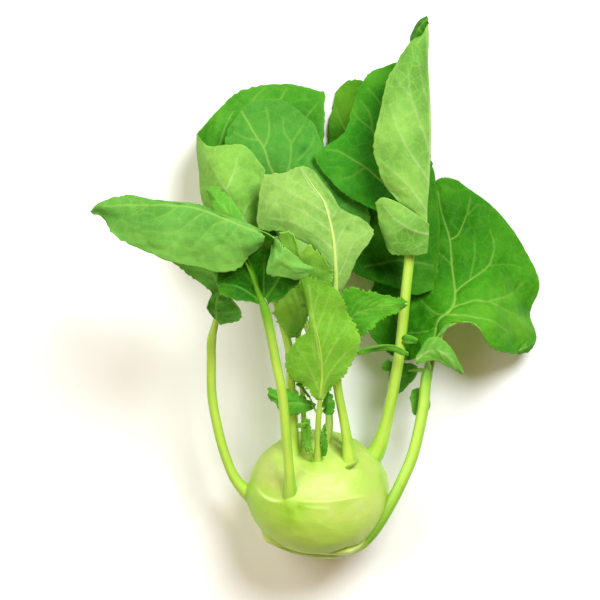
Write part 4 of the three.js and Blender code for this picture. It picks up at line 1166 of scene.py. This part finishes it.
# Sprigs too small for a node of their own.
SPRIGS = {
    "rolled_tip": {
        # Both faces are a deep green that paints the shade inside the rolled tip.
        "tint": ("#2f8414", "#3f9a24"),
        "lines": [
            [(54.6, 232, 50), (49, 228.6, 48), (46.2, 222.6, 47), (46.8, 218.4, 48)],
            [(54.8, 230.6, 53), (51, 227, 53), (48.6, 222.6, 52), (48, 218.4, 51)],
            [(55.4, 228.4, 50), (54.6, 225, 49), (53.2, 221, 48.6), (50.6, 217.6, 49)],
        ],
        "tooth": 0.2,
        "side_veins": 3,
    },
    "round_leaflet": {
        "tint": ("#5fb52c", "#7cc84a"),
        "lines": [
            [(38.6, 57.5, 29.6), (35.5, 60.2, 31), (32.3, 58.6, 31)],
            [(38.6, 56.6, 29.6), (35, 57.2, 32), (32, 57, 31)],
            [(38.4, 55.8, 29.6), (34.8, 54.6, 31), (32.3, 55.6, 30.5)],
        ],
        "tooth": 0.3,
        "side_veins": 2,
    },
    "torn_sheath": {
        "tint": ("#b4dc58", "#6cb42c"),
        "lines": [
            [(13.6, 6.4, 55.4), (15, 7.8, 57.4), (17, 9.1, 57.6), (20, 10.8, 56.8)],
            [(14.2, 5.7, 55.6), (15.8, 7, 57.6), (17.6, 8.5, 57.8), (19.9, 10.5, 57)],
            [(14.8, 5, 55), (16.4, 6.2, 56.8), (18.1, 7.8, 57.1), (19.8, 10.1, 56.8)],
        ],
        "tooth": 0.15,
        "pucker": 0.2,
    },
    "crown_leaflet_right": {
        "tint": ("#5cb430", "#8cd04c"),
        "lines": [
            [(1.8, 12, 56.6), (2, 19, 60), (2.6, 27.5, 63)],
            [(3, 12, 57.5), (3.6, 19, 60.5), (3.4, 27.5, 63.5)],
            [(3.8, 12.5, 56.5), (4.6, 19, 59.5), (4, 27, 63)],
        ],
        "tooth": 0.7,
        "pitch": 2,
    },
    "crown_strip": {
        "tint": ("#78bc3c", "#96cc54"),
        "lines": [
            [(-11, 28.6, 62), (-8, 28.4, 62.6), (-4.8, 29, 61.2)],
            [(-11, 27.6, 62.4), (-8, 27.2, 63), (-4.8, 27.6, 61)],
            [(-10.8, 26.6, 62), (-8, 26, 62.6), (-5, 26.6, 60.8)],
        ],
        "tooth": 0.3,
        "pitch": 3,
    },
    "curled_tip": {
        # Both faces are a deep green that paints the shade inside the curl.
        "tint": ("#3c9420", "#4a9c2c"),
        "lines": [
            [(100.2, 62.8, 21.6), (104, 64.2, 17.4), (107.4, 67, 13.6)],
            [(100.4, 64.8, 23), (104.4, 66.6, 19.4), (108.2, 69.4, 15)],
            [(101.4, 67.6, 19.4), (105, 69.6, 15.6), (108.2, 72, 11.9)],
        ],
        "tooth": 0.5,
        "pitch": 3,
        "side_veins": 2,
    },
    "crown_lobe_right": {
        "tint": ("#4ca428", "#6db54a"),
        "lines": [
            [(1.6, 37, 63), (3.6, 42.6, 66), (5.6, 44.6, 66)],
            [(2, 35.6, 63.5), (4.6, 38.6, 66.5), (8, 39.6, 66)],
            [(2.4, 34, 63), (4.6, 33, 65), (7.8, 33, 64.5)],
        ],
        "tooth": 0.5,
        "pitch": 3,
        "side_veins": 3,
    },
    "small_leaflet": {
        "tint": ("#56ac2c", "#74bf44"),
        "lines": [
            [(41.4, 70.4, 43.6), (44, 72.6, 46), (49.6, 70.8, 46)],
            [(41.4, 69.6, 43.8), (44.6, 70, 46.8), (49.8, 69.4, 46.6)],
            [(41.4, 68.8, 43.6), (45, 67.8, 46), (49.4, 67.8, 46)],
        ],
        "tooth": 0.2,
        "side_veins": 2,
    },
    "middle_lobe": {
        "tint": ("#6cb848", "#97cb62"),
        "lines": [
            [(2, 111, 75.5), (-2, 106, 76.2), (-4, 102, 76)],
            [(-6, 119, 75), (-9, 112, 76.5), (-11, 106, 76.2)],
            [(-16, 124.5, 72.6), (-15, 118, 75), (-15, 112, 75)],
        ],
        "up": "under",
        "tooth": 0.4,
    },
    "curled_shoot": {
        "tint": ("#4ca426", "#74bf44"),
        "lines": [
            [(-3.6, 40.5, 66), (-7, 44, 68.5), (-11, 48.4, 69)],
            [(-4.2, 41.5, 67), (-8, 46, 70), (-9, 49.6, 70.5)],
            [(-5, 43, 66.5), (-8.4, 48, 69), (-6.4, 50, 69.5)],
        ],
        "tooth": 0.6,
        "pitch": 4,
        "side_veins": 3,
    },
}

# Short stems that carry the leaflets: how thick, and where they run on the plan.
TWIGS = {
    "crown_lobe": (1.6, [(0.4, 29, 64.6), (-0.4, 33.4, 63.2), (-3, 37.4, 64)]),
    "crown_lobe_right": (1.2, [(0.4, 30, 65.2), (1.4, 33, 64), (3.2, 36.4, 64.4)]),
    "curled_shoot": (1.0, [(-1.8, 37, 64), (-3.2, 39.4, 65), (-5, 43, 67.2)]),
    "crown_leaflet": (1.4, [(-2.6, 9, 54), (-3.4, 12, 55.8), (-4.6, 16.5, 58.6)]),
    "curled_lobe": (1.4, [(10.8, 58.5, 55), (15.5, 62, 56.4), (22.5, 64.2, 57)]),
    "upper_leaflet": (1.8, [(-23.5, 96, 56.6), (-27, 104, 61), (-32.5, 114.5, 68), (-38, 125.5, 71.6)]),
    "ear_lobe": (2.4, [(55.8, 55.5, 40), (55.2, 58.5, 44), (54, 61.5, 48.8), (57, 64.5, 50.4)]),
    "lower_lobe": (2.8, [(54.4, 53, 38), (51.5, 55, 35.4), (45.5, 54.5, 28.6)]),
    "stalk_leaflet": (1.4, [(53.6, 46, 38.4), (52.4, 45.6, 35.6), (51.2, 42, 34.6)]),
}


# ---------------------------------------------------------------- bulb shape

# Old leaf scars. Each is a shelf that lies to the right of its line, as drawn on the plan: proud is how
# far it stands out and reach how far it runs down. RIBBON is the scar on the far side, by its height
# along the axis.
SHELVES = [
    {
        "proud": 1.5,
        "reach": 5,
        "line": [
            (-32, -1.5), (-30.2, -4.3), (-27.9, -7.4), (-24, -9.8), (-17.7, -11.2), (-9.9, -10.6),
            (-1.3, -10.7), (7.4, -10.4), (16.8, -9), (23, -8.2), (25.7, -9.4),
        ],
    },
    {
        "proud": 0.5,
        "reach": 3,
        "line": [
            (-11, 9), (-9.1, 5.9), (-4.4, 3.1), (1.1, 2.1), (5.8, 2.9), (10.5, 4.3), (14.4, 6.3), (16.5, 8),
            (17.5, 10.5),
        ],
    },
    {"proud": 0.25, "reach": 2, "line": [(-8.3, -12.9), (-3.6, -13.9), (2, -14.4), (7.3, -14.5)]},
    {"proud": 0.15, "reach": 2, "line": [(-1.9, -20.5), (1.1, -21.5), (4.5, -23.6), (8.3, -24.8)]},
    {"proud": 0.6, "reach": 2.5, "line": [(-32.6, 3.5), (-29.5, 9), (-24.8, 13.7), (-18.5, 17.6)]},
    {"proud": 0.6, "reach": 2.5, "line": [(18.3, 17.6), (25.3, 12.1), (30, 5.9), (32.8, -1.2)]},
]
RIBBON = {"height": 0.25, "middle": 155, "half": 60, "droop": 0.12, "proud": 1.0}

# The skirt that the lowest scar leaves: degrees round from the front, its upper edge in degrees above the
# bulb's middle, and how far it stands out.
SKIRT = [
    (-180, 10, 0), (-54, 13, 0), (-46, 17.6, 2.4), (-40, 19, 1.6), (-29.5, 22.7, -1.2), (-12, 24.5, -1.6),
    (0, 24.4, -1.4), (15, 25.6, 0.4), (27, 25, 2.2), (34, 20, 1.4), (46, 12, 0), (180, 10, 0),
]

# Where a stalk's foot runs on down the bulb, on the plan: proud is how far it stands out, reach half its
# width, tone how much greener it is, and clear whether it wipes out the scars that it crosses.
SWELLS = [
    {
        "proud": 1.0,
        "reach": 4.2,
        "tone": 0.45,
        "clear": 1,
        "line": [(-13.6, -11), (-13.4, -14), (-13.2, -18), (-13, -25)],
    },
    {
        "proud": 0.9,
        "reach": 4.5,
        "tone": 0.3,
        "clear": 0,
        "line": [(-34, -8), (-31, -14), (-26, -21), (-22, -27)],
    },
    {"proud": 0.6, "reach": 3, "tone": 0.4, "clear": 0, "line": [(14.5, 9), (14, 5), (12.5, 1), (12, -3)]},
]

# Paler and deeper places on the near side, on the plan: amount, reach and place. They are partly painted
# light and shade, a painted highlight in the lit middle and painted shade in the grooves under the scars, and
# partly the skin's own greener flush.
LIGHT_SHADE_AND_FLUSH = [
    (0.05, 13, (9, -2)), (0.4, 11, (-22, 3)), (-0.6, 4, (-13.4, -15)), (-0.6, 2.5, (-9, -13)),
    (-0.5, 2.5, (-17.5, -13)), (-0.4, 5, (-13, -20)), (-0.3, 10, (-12, -23)), (-0.7, 9, (-33, -8)),
    (-0.5, 16, (4, -32)), (0.3, 8, (19, -14)), (-0.5, 7, (-3, 9)), (-0.4, 8, (32, 2)), (-0.45, 8, (30, -22)),
    (-0.4, 10, (-26, -18)), (-0.5, 4, (-5, -13)), (0.35, 8, (-4, -3)), (-0.35, 6, (22, -4)),
    (-0.3, 7, (-21, 11)), (-0.4, 5, (12, -12)), (0.3, 5, (8, -17)), (0.25, 5, (-2, -28)),
]


def ribbon_rise(height, angle):
    """How far the skin stands proud at the scar on the far side."""
    off = ((angle - RIBBON["middle"] + 540) % 360 - 180) / RIBBON["half"]
    below = RIBBON["height"] - RIBBON["droop"] * off**2 - height
    fade = np.clip((1.15 - np.abs(off)) / 0.3, 0, 1)
    shelf = np.where(below > 0, np.exp(-np.maximum(below, 0) / 0.12), np.exp(-((below / 0.02) ** 2)))
    return RIBBON["proud"] * fade * shelf


def along_line(points, line):
    """How far the points are from a smooth line on the plan, and at what share of it and on which side."""
    return beside(points, evenly(np.array(line, float), spacing=1.5))


def skirt_rise(way):
    """Where the skirt is, how far it stands out there, and how deep the groove along its upper edge is."""
    round_from_front = np.degrees(np.arctan2(way[:, 0], -way[:, 1]))
    above = np.degrees(np.arcsin(np.clip(way[:, 2], -1, 1)))
    around, edge, out = (np.array([row[i] for row in SKIRT]) for i in range(3))
    under = np.interp(round_from_front, around, edge) - above
    share = np.clip(under / 2.2 + 0.5, 0, 1) * np.clip(1 - (under - 30) / 25, 0, 1)
    groove = np.exp(-(((under + 1.5) / 2.2) ** 2)) * np.clip((58 - np.abs(round_from_front)) / 14, 0, 1)
    return share, np.interp(round_from_front, around, out), groove


def near_relief(flat, near, relief):
    """The height that scars and stalk feet give the near side, the painted highlight along the scars, and the
    tone: painted light and shade, the skin's flush and greener stalk feet.
    """
    extra = np.zeros(len(flat))
    ridge_highlight = np.zeros(len(flat))
    for shelf in SHELVES:
        apart, share, right = along_line(flat, shelf["line"])
        fade = near * np.clip(4.5 * np.minimum(share, 1 - share), 0, 1) * shelf["proud"] * relief
        extra += fade * np.where(right > 0, np.exp(-apart / shelf["reach"]), np.exp(-((apart / 0.7) ** 2)))
        # A painted highlight along the upper edge of each scar.
        ridge_highlight += fade * (1.2 - share) * np.exp(-(((apart * -right - 0.25) / 0.55) ** 2))
    tone = np.zeros(len(flat))
    for amount, reach, point in LIGHT_SHADE_AND_FLUSH:
        tone += near * amount * np.exp(-(np.linalg.norm(flat - point, axis=1) / reach) ** 2)
    for swell in SWELLS:
        apart, share, _ = along_line(flat, swell["line"])
        lump = near * np.exp(-((apart / (swell["reach"] * (1 - 0.4 * share))) ** 2)) * (1 - share) ** 0.7
        cleared = 1 - swell["clear"] * np.clip(1.8 * np.exp(-((apart / swell["reach"]) ** 2)), 0, 1)
        extra = extra * cleared + swell["proud"] * lump
        ridge_highlight *= cleared
        tone -= swell["tone"] * lump
    return extra, ridge_highlight, tone


def swell_feet(place):
    """Draws the skin out round the feet of the stalks, and says how near each point is to one."""
    centre = np.array(BULB_CENTRE)
    foot = np.zeros(len(place))
    for plan in LEAVES.values():
        if plan.get("flare", FLARE) > 0:
            start, ahead = on_plan(plan["stalk"][:2])
            outward, forward = unit(start - centre), unit(ahead - start)
            back = start - unit(forward - outward * (forward @ outward)) * SWELL_LENGTH
            apart = beside(place, np.array([start, back - 1.2 * outward]))[0] / (1.8 + 0.6 * plan["thick"][0])
            push = 0.4 * plan["thick"][0] * np.exp(-(apart**2))
            place += unit(forward + outward) * push[:, None]
            foot = np.maximum(foot, np.exp(-((apart / 1.2) ** 2)))
    return foot


def cut_flat(bm, point, normal):
    """Cuts the mesh at a plane, drops what lies beyond it and closes the cut with the second material."""
    parts = bm.verts[:] + bm.edges[:] + bm.faces[:]
    cut = bmesh.ops.bisect_plane(bm, geom=parts, plane_co=point * MM, plane_no=normal, clear_outer=True)
    rim = [e for e in cut["geom_cut"] if isinstance(e, bmesh.types.BMEdge)]
    for face in bmesh.ops.contextual_create(bm, geom=rim)["faces"]:
        face.material_index = 1


def bulb_piece(settings, materials):
    """The swollen stem: a ball pressed flat along its axis, with its scars, stalk feet and cuts."""
    bm = bmesh.new()
    layers = [bm.verts.layers.float.new(key) for key in ("ridge_highlight", "tone", "foot")]
    bmesh.ops.create_uvsphere(bm, u_segments=300, v_segments=200, radius=1)
    ball = np.array([list(v.co) for v in bm.verts])
    x, height, z = ball[:, 0], ball[:, 2], -ball[:, 1]

    def spread(wide, tall):
        place = np.array([1, 0, 0]) * (x * wide)[:, None] + np.array(FRONT) * (z * wide)[:, None]
        return place + np.array(AXIS) * (height * tall)[:, None]

    way = spread(1, 1)
    rise = settings.relief * ribbon_rise(height, np.degrees(np.arctan2(x, z)))
    rise += np.array([0.5 * noise.noise(Vector(w) * 2.2) + 0.22 * noise.noise(Vector(w) * 6) for w in way])
    skirt, out, groove = skirt_rise(way)
    rise += skirt * out - 0.7 * groove
    crown = 1 - 0.3 * np.maximum(0, height - 0.8)

    def placed(extra):
        wide, tall = BULB_RADIUS, BULB_HALF_HEIGHT * crown
        return np.array(BULB_CENTRE) + spread(wide + rise + extra, tall + rise + extra)

    extra, ridge_highlight, tone = near_relief(seen(placed(0)), np.clip(way[:, 2] * 8, 0, 1), settings.relief)
    place = placed(extra)
    # Paler on the skirt where it stands out, and painted shade where the skin turns from the light above to
    # its sides and underside.
    tone += 0.9 * skirt * np.clip(out, 0, 1) - 0.75 * np.clip((0.5 - way[:, 2]) / 0.5, 0, 1) ** 1.5
    foot = swell_feet(place)
    for v, p, *values in zip(bm.verts, place, ridge_highlight, tone, foot):
        v.co = Vector(p) * MM
        for layer, value in zip(layers, values):
            v[layer] = value
    level = Matrix.Rotation(CUT_TILT, 3, FRONT) @ AXIS
    cut_flat(bm, BULB_CENTRE - level * ROOT_CUT, -level)
    cut_flat(bm, Vector(), Vector((0, 0, -1)))
    for face in bm.faces:
        face.smooth = face.material_index == 0
    bmesh.ops.recalc_face_normals(bm, faces=bm.faces)
    return object_of("bulb_body", bm, materials)


# ---------------------------------------------------------------- finishes


def bulb_skin(settings):
    """Waxy skin: paler in streaks, greener at the feet of the stalks, with painted light and shade from the
    tone layer and a painted highlight along the scars.
    """
    made = Finish("Bulb skin", Roughness=0.5, Coat_Weight=0.04, Coat_Roughness=0.35, Subsurface_Weight=0.2)
    made.shader.inputs["Subsurface Radius"].default_value = (0.9, 1.0, 0.35)
    made.shader.inputs["Subsurface Scale"].default_value = 0.003
    ridge_highlight, tone, foot = (made.attribute(key) for key in ("ridge_highlight", "tone", "foot"))
    broad = made.noise(60, 8, roughness=0.65)
    turned = {"Vector": made.place(), "Rotation": (AXIS_RISE - math.pi / 2, 0, 0), "Scale": (1, 1, 0.3)}
    streaks = made.noise(300, 5, made.node("Mapping", inputs=turned))
    # Deeper green where the tone paints shade, and in the skin's own broad patches.
    shade_and_flush_mask = (tone * -0.9 + (broad - 0.5) * 1.3 + 0.15).clamped()
    colour = made.mix(shade_and_flush_mask, tuple(settings.skin), tuple(settings.flush))
    # Paler in streaks and where the tone paints light.
    colour = made.mix((tone * 0.9 + (streaks - 0.5) * 1.5).clamped(), colour, tuple(settings.bloom_and_light))
    colour = made.mix((foot * 0.5).clamped(), colour, linear("#b0dc44", 0.9))
    # A painted highlight along the upper edges of the scars.
    colour = made.mix((ridge_highlight * 0.4).clamped(), colour, linear("#eaf6b0", 0.9))
    # The deepest green where the tone is lowest, mostly painted shade.
    colour = made.mix((tone * -0.9 - 0.9).clamped(), colour, linear("#7cb82a", 0.85))
    made.feed("Base Color", colour)
    made.feed("Roughness", 0.44 + streaks * 0.14)
    made.bump(made.noise(700, 3) * 0.4 + streaks * 0.7 + made.noise(140, 3) * 1.2, 0.0005, 0.5)
    return made.material


def cut_cork(settings):
    """The dry, pale face of the knife cut."""
    made = Finish("Knife cut", Roughness=0.8)
    grain = made.noise(500, 6)
    made.feed("Base Color", made.mix(grain.between(0.35, 0.65), tuple(settings.cork), linear("#e6e0b8")))
    made.bump(grain, 0.0006, 0.7)
    return made.material


def stalk_flesh(settings):
    """Fleshy stalks, streaked along their length, with painted light: paler with a painted highlight along
    the top, and painted shade greener down the sides.
    """
    made = Finish("Stalk flesh", Roughness=0.36, Coat_Weight=0.12, Coat_Roughness=0.25, Subsurface_Weight=0.2)
    made.shader.inputs["Subsurface Radius"].default_value = (0.8, 1.0, 0.2)
    made.shader.inputs["Subsurface Scale"].default_value = 0.002
    along, beside, above, rib = (made.attribute(key) for key in ("along", "beside", "above", "rib"))
    grain = made.node("CombineXYZ", inputs={"X": along * 0.03, "Y": beside * 2.4, "Z": above * 2.4})
    streaks = made.noise(2.0, 3, grain)
    broad = made.noise(70, 3)
    green = streaks.between(0.35, 0.7) * 0.5 + broad.between(0.4, 0.7) * 0.25
    # Painted shade: greener down the sides and underside than along the top, and a little greener on one
    # side.
    green = green + above * -0.6 + beside * -0.12 + 0.4
    colour = made.mix(green.clamped(), tuple(settings.flesh), tuple(settings.shade))
    # A painted highlight: pale streaks along the top.
    painted_top_highlight = above.between(0.75, 1) * streaks.between(0.35, 0.6) * 0.38
    colour = made.mix(painted_top_highlight, colour, linear("#e0f088", 0.95))
    colour = made.mix((1 - along.between(2, 13)) * 0.7, colour, linear("#bfe25a", 0.9))
    colour = made.mix(rib.clamped() * 0.8, colour, linear("#d0ec84", 0.9))
    colour = made.mix((rib * -0.9).clamped(), colour, linear("#66b814"))
    made.feed("Base Color", colour)
    made.feed("Roughness", 0.32 + broad * 0.12)
    made.bump(streaks, 0.0004, 0.3)
    return made.material


# What a leaf's colour is multiplied by where it is deep, and multiplied by and raised by where it is fair.
# Besides random unevenness and the vein net, deep and fair also carry painted shade, painted light and the
# painted highlight along the rim.
DEEPER = (0.45, 0.62, 0.4, 1)
PALER = ((1.25, 0.06), (1.15, 0.07), (1.15, 0.01), (1, 0))


def leaf_face(name, tint, vein, under):
    """The skin of one face of a leaf: pale branching veins, a fine net between them, uneven greens, and
    painted light and shade.
    """
    made = Finish(name, Roughness=0.5, Subsurface_Weight=0.03, Specular_IOR_Level=0.06)
    made.shader.inputs["Subsurface Radius"].default_value = (0.5, 1.0, 0.15)
    made.shader.inputs["Subsurface Scale"].default_value = 0.001
    base = linear(tint)
    deep = tuple(c * share for c, share in zip(base, DEEPER))
    fair = tuple(min(1, c * share + more) for c, (share, more) in zip(base, PALER))
    line, rim, tone = (made.attribute(key) for key in ("vein", "rim", "tone"))
    broad = made.noise(38, 3)
    fine = made.noise(300, 4)
    thin = 1 - made.cells(380.0).between(0.0, 0.08)
    wider = 1 - made.cells(150.0).between(0.0, 0.07)
    flecks = made.noise(140, 5, roughness=0.7).between(0.56, 0.74)
    # Random unevenness; the tone layer's painted shade pulls towards deep and its painted light towards fair.
    colour = made.mix((broad.between(0.3, 0.65) * 0.55 + 0.45 + tone).clamped(), deep, base)
    colour = made.mix((fine.between(0.4, 0.75) * 0.35 + tone).clamped(), colour, fair)
    colour = made.mix(flecks * 0.4, colour, deep)
    colour = made.mix(thin * (0.18 if under else 0.14), colour, fair)
    colour = made.mix(wider * (0.28 if under else 0.22), colour, fair)
    colour = made.mix((line * 0.72).clamped(), colour, tuple(vein))
    # A painted highlight: paler along the rim of the blade.
    colour = made.mix((rim * 0.6).clamped(), colour, fair)
    made.feed("Base Color", colour)
    made.feed("Roughness", 0.46 + broad * 0.16 + thin * 0.05)
    sign = 1 if under else -1
    made.bump(line * (0.35 * sign) + (thin + wider) * (0.2 * sign) + fine * 0.3, 0.0004, 0.5)
    return made.material


# ---------------------------------------------------------------- operators


def stalk_line(plan, blade):
    """The centre line of a stalk from its root in the bulb to the blade, and on as the rib of the blade."""
    top = plan["thick"][1] / 2
    along = np.linspace(0.06, 0.94, 12)
    across = np.full_like(along, plan.get("rib", 0.5))
    normal = blade.directions(across, along)[2]
    up = np.where(normal[:, 2] > 0, 1, -1)
    away = -1.1 * top - 1.3 if plan.get("under") else 0.15 * top
    lift = up * away * np.linspace(1, 0.6, len(along))
    rib = blade.at(across, along) + normal * lift[:, None]
    stalk = on_plan(plan["stalk"])
    if plan.get("flare", FLARE) > 0:
        inward = np.array(BULB_CENTRE) - stalk[0]
        root = stalk[0] - ROOT_LENGTH * unit(stalk[1] - stalk[0]) + plan.get("sink", 0.07) * inward
        stalk = np.vstack([root, stalk])
    if "run_on" in plan:
        stalk = np.vstack([stalk, on_plan(plan["run_on"])])
    return stalk, rib


def stalk_of(plan):
    """The centre line of a leaf's stalk and rib, and its radius and its tinge along it."""
    stalk, rib = stalk_line(plan, Blade(plan["sheets"][0]))
    points = np.vstack([stalk, rib])
    lengths = steps(points)
    at_blade = lengths[: len(stalk) - 1].sum() / lengths.sum()
    foot, top = (thick / 2 for thick in plan["thick"])
    taper = plan.get("taper", 0)

    def radius_at(share):
        if share >= at_blade:
            return top * (1 - 0.93 * ((share - at_blade) / (1 - at_blade)) ** 0.6)
        base = foot * plan.get("flare", FLARE) * math.exp(-((share / 0.09) ** 2))
        grown = 0.3 + 0.7 * share / taper if share < taper else 1
        return base * min(1, 0.2 + share / 0.02) ** 0.5 + grown * (foot + (top - foot) * share / at_blade)

    marks, amounts = zip(*plan.get("tinge", [(0, 0), (1, 0)]))

    def tinge_at(share):
        if share < at_blade:
            return float(np.interp(share / at_blade, marks, amounts))
        mixed = min(1, 3 * (share - at_blade) / (1 - at_blade))
        return amounts[-1] * (1 - mixed) + plan.get("rib_tone", 1) * mixed

    return points, radius_at, tinge_at


def stem_of(thick, points):
    """The centre line of a leaflet's stem, which thins to half, and its radius and its tinge along it."""
    return on_plan(points), lambda share: thick / 2 * (1 - 0.5 * share), lambda share: STEM_TINGE


class KOHLRABI_OT_bulb(bpy.types.Operator):
    """Add the swollen stem with its leaf scars and its knife cut"""

    bl_idname = "kohlrabi.bulb"
    bl_label = "Bulb"

    def execute(self, context):
        settings = context.scene.kohlrabi_bulb
        piece = bulb_piece(settings, [bulb_skin(settings), cut_cork(settings)])
        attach(piece, "root")
        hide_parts("bulb")
        return {"FINISHED"}


class KOHLRABI_OT_stalks(bpy.types.Operator):
    """Add the stalks, each running on as the rib of its leaf"""

    bl_idname = "kohlrabi.stalks"
    bl_label = "Stalks"

    def execute(self, context):
        flesh = stalk_flesh(context.scene.kohlrabi_stalk)
        for name, plan in LEAVES.items():
            piece = stalk_piece(name + "_petiole", *stalk_of(plan), [flesh])
            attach(piece, "root")
            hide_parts(name + "_stalk")
        for name, (thick, points) in TWIGS.items():
            piece = stalk_piece(name + "_stem", *stem_of(thick, points), [flesh], sides=14, spacing=0.8)
            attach(piece, "root")
        return {"FINISHED"}


def add_blade(context, name, node, sheets, tints, seed):
    """Adds a blade, which stands in for the node, or is a sprig of its own where there is none."""
    settings = context.scene.kohlrabi_leaf
    upper, under, *vein = tints
    under_vein = linear(vein[0]) if vein else settings.under_vein
    materials = [
        leaf_face(name + " upper", upper, settings.vein, False),
        leaf_face(name + " under", under, under_vein, True),
    ]
    piece = blade_piece(name, sheets, materials, settings.spacing, settings.thickness, seed)
    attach(piece, "root")
    if node:
        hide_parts(node)


class KOHLRABI_OT_blades(bpy.types.Operator):
    """Add the blades of the stalked leaves"""

    bl_idname = "kohlrabi.blades"
    bl_label = "Blades"

    def execute(self, context):
        for seed, (name, plan) in enumerate(LEAVES.items()):
            add_blade(context, name + "_leaf", name + "_blade", plan["sheets"], plan["tint"], 3.1 * seed)
        return {"FINISHED"}


class KOHLRABI_OT_leaflets(bpy.types.Operator):
    """Add the leaflets, the torn lobes and the small sprigs"""

    bl_idname = "kohlrabi.leaflets"
    bl_label = "Leaflets"

    def execute(self, context):
        for seed, (name, plan) in enumerate(LEAFLETS.items()):
            add_blade(context, name + "_leaf", name, [plan], plan["tint"], 1.3 * seed + 0.5)
        for seed, (name, plan) in enumerate(SPRIGS.items()):
            add_blade(context, name, None, [plan], plan["tint"], 1.9 * seed + 0.2)
        return {"FINISHED"}


def add_lamp(name, place, size, power, tint):
    """Adds a round soft lamp that faces the plant."""
    light = bpy.data.lights.new(name, "AREA")
    light.shape = "DISK"
    light.size = size
    light.energy = power
    light.color = tint
    holder = bpy.data.objects.new(name, light)
    holder.location = place
    holder.rotation_euler = (LAMP_AIM - Vector(place)).to_track_quat("-Z", "Y").to_euler()
    bpy.context.collection.objects.link(holder)


class KOHLRABI_OT_stage(bpy.types.Operator):
    """Add the floor, the lights and the camera that looks straight down"""

    bl_idname = "kohlrabi.stage"
    bl_label = "Stage"

    def execute(self, context):
        settings = context.scene.kohlrabi_stage
        floor = Finish("Floor", Roughness=0.9)
        floor.shader.inputs["Base Color"].default_value = tuple(settings.floor)
        bm = bmesh.new()
        bmesh.ops.create_grid(bm, x_segments=1, y_segments=1, size=2)
        object_of("floor", bm, [floor.material])
        add_lamp("key", (0.5, 0.8, 1.2), 0.7, settings.key, (0.97, 0.99, 1.04))
        add_lamp("side", (-0.8, 0.5, 1.25), 1.0, settings.key * 0.5, (1.0, 0.97, 0.9))
        add_lamp("front", (0.15, -0.8, 1.3), 1.2, settings.key * 0.1, (1.0, 0.8, 0.4))
        world = bpy.data.worlds.new("Room")
        world.use_nodes = True
        glow = world.node_tree.nodes["Background"].inputs
        glow["Color"].default_value = (1, 0.62, 0.1, 1)
        glow["Strength"].default_value = 0.13
        context.scene.world = world
        lens = bpy.data.cameras.new("camera")
        lens.sensor_width = SENSOR
        lens.lens = SENSOR * VIEW_HEIGHT / VIEW_WIDTH
        lens.clip_end = 20
        camera = bpy.data.objects.new("camera", lens)
        camera.location = Vector((*VIEW_FOOT, PLAN_LEVEL + VIEW_HEIGHT)) * MM
        context.collection.objects.link(camera)
        context.scene.camera = camera
        context.scene.view_settings.view_transform = "Standard"
        return {"FINISHED"}


class KOHLRABI_PT_panel(bpy.types.Panel):
    """Lists the pieces of the kohlrabi and their settings"""

    bl_label = "Kohlrabi"
    bl_space_type = "VIEW_3D"
    bl_region_type = "UI"
    bl_category = "Kohlrabi"

    def draw(self, context):
        for operator, group in PANEL_ROWS:
            self.layout.operator(operator)
            settings = getattr(context.scene, group)
            for key in type(settings).__annotations__:
                self.layout.prop(settings, key)


PANEL_ROWS = (
    ("kohlrabi.bulb", "kohlrabi_bulb"),
    ("kohlrabi.stalks", "kohlrabi_stalk"),
    ("kohlrabi.blades", "kohlrabi_leaf"),
    ("kohlrabi.leaflets", "kohlrabi_leaf"),
    ("kohlrabi.stage", "kohlrabi_stage"),
)
GROUPS = {
    "kohlrabi_bulb": KohlrabiBulbSettings,
    "kohlrabi_stalk": KohlrabiStalkSettings,
    "kohlrabi_leaf": KohlrabiLeafSettings,
    "kohlrabi_stage": KohlrabiStageSettings,
}
CLASSES = (
    *GROUPS.values(),
    KOHLRABI_OT_bulb,
    KOHLRABI_OT_stalks,
    KOHLRABI_OT_blades,
    KOHLRABI_OT_leaflets,
    KOHLRABI_OT_stage,
    KOHLRABI_PT_panel,
)


def register():
    """Registers the classes and gives every scene its settings."""
    for cls in CLASSES:
        bpy.utils.register_class(cls)
    for key, group in GROUPS.items():
        setattr(bpy.types.Scene, key, bpy.props.PointerProperty(type=group))


def unregister():
    """Takes the settings and the classes away again."""
    for key in GROUPS:
        delattr(bpy.types.Scene, key)
    for cls in reversed(CLASSES):
        bpy.utils.unregister_class(cls)


def main():
    """Builds the kohlrabi and its stage."""
    register()
    bpy.ops.kohlrabi.bulb()
    bpy.ops.kohlrabi.stalks()
    bpy.ops.kohlrabi.blades()
    bpy.ops.kohlrabi.leaflets()
    bpy.ops.kohlrabi.stage()


if __name__ == "__main__":
    main()
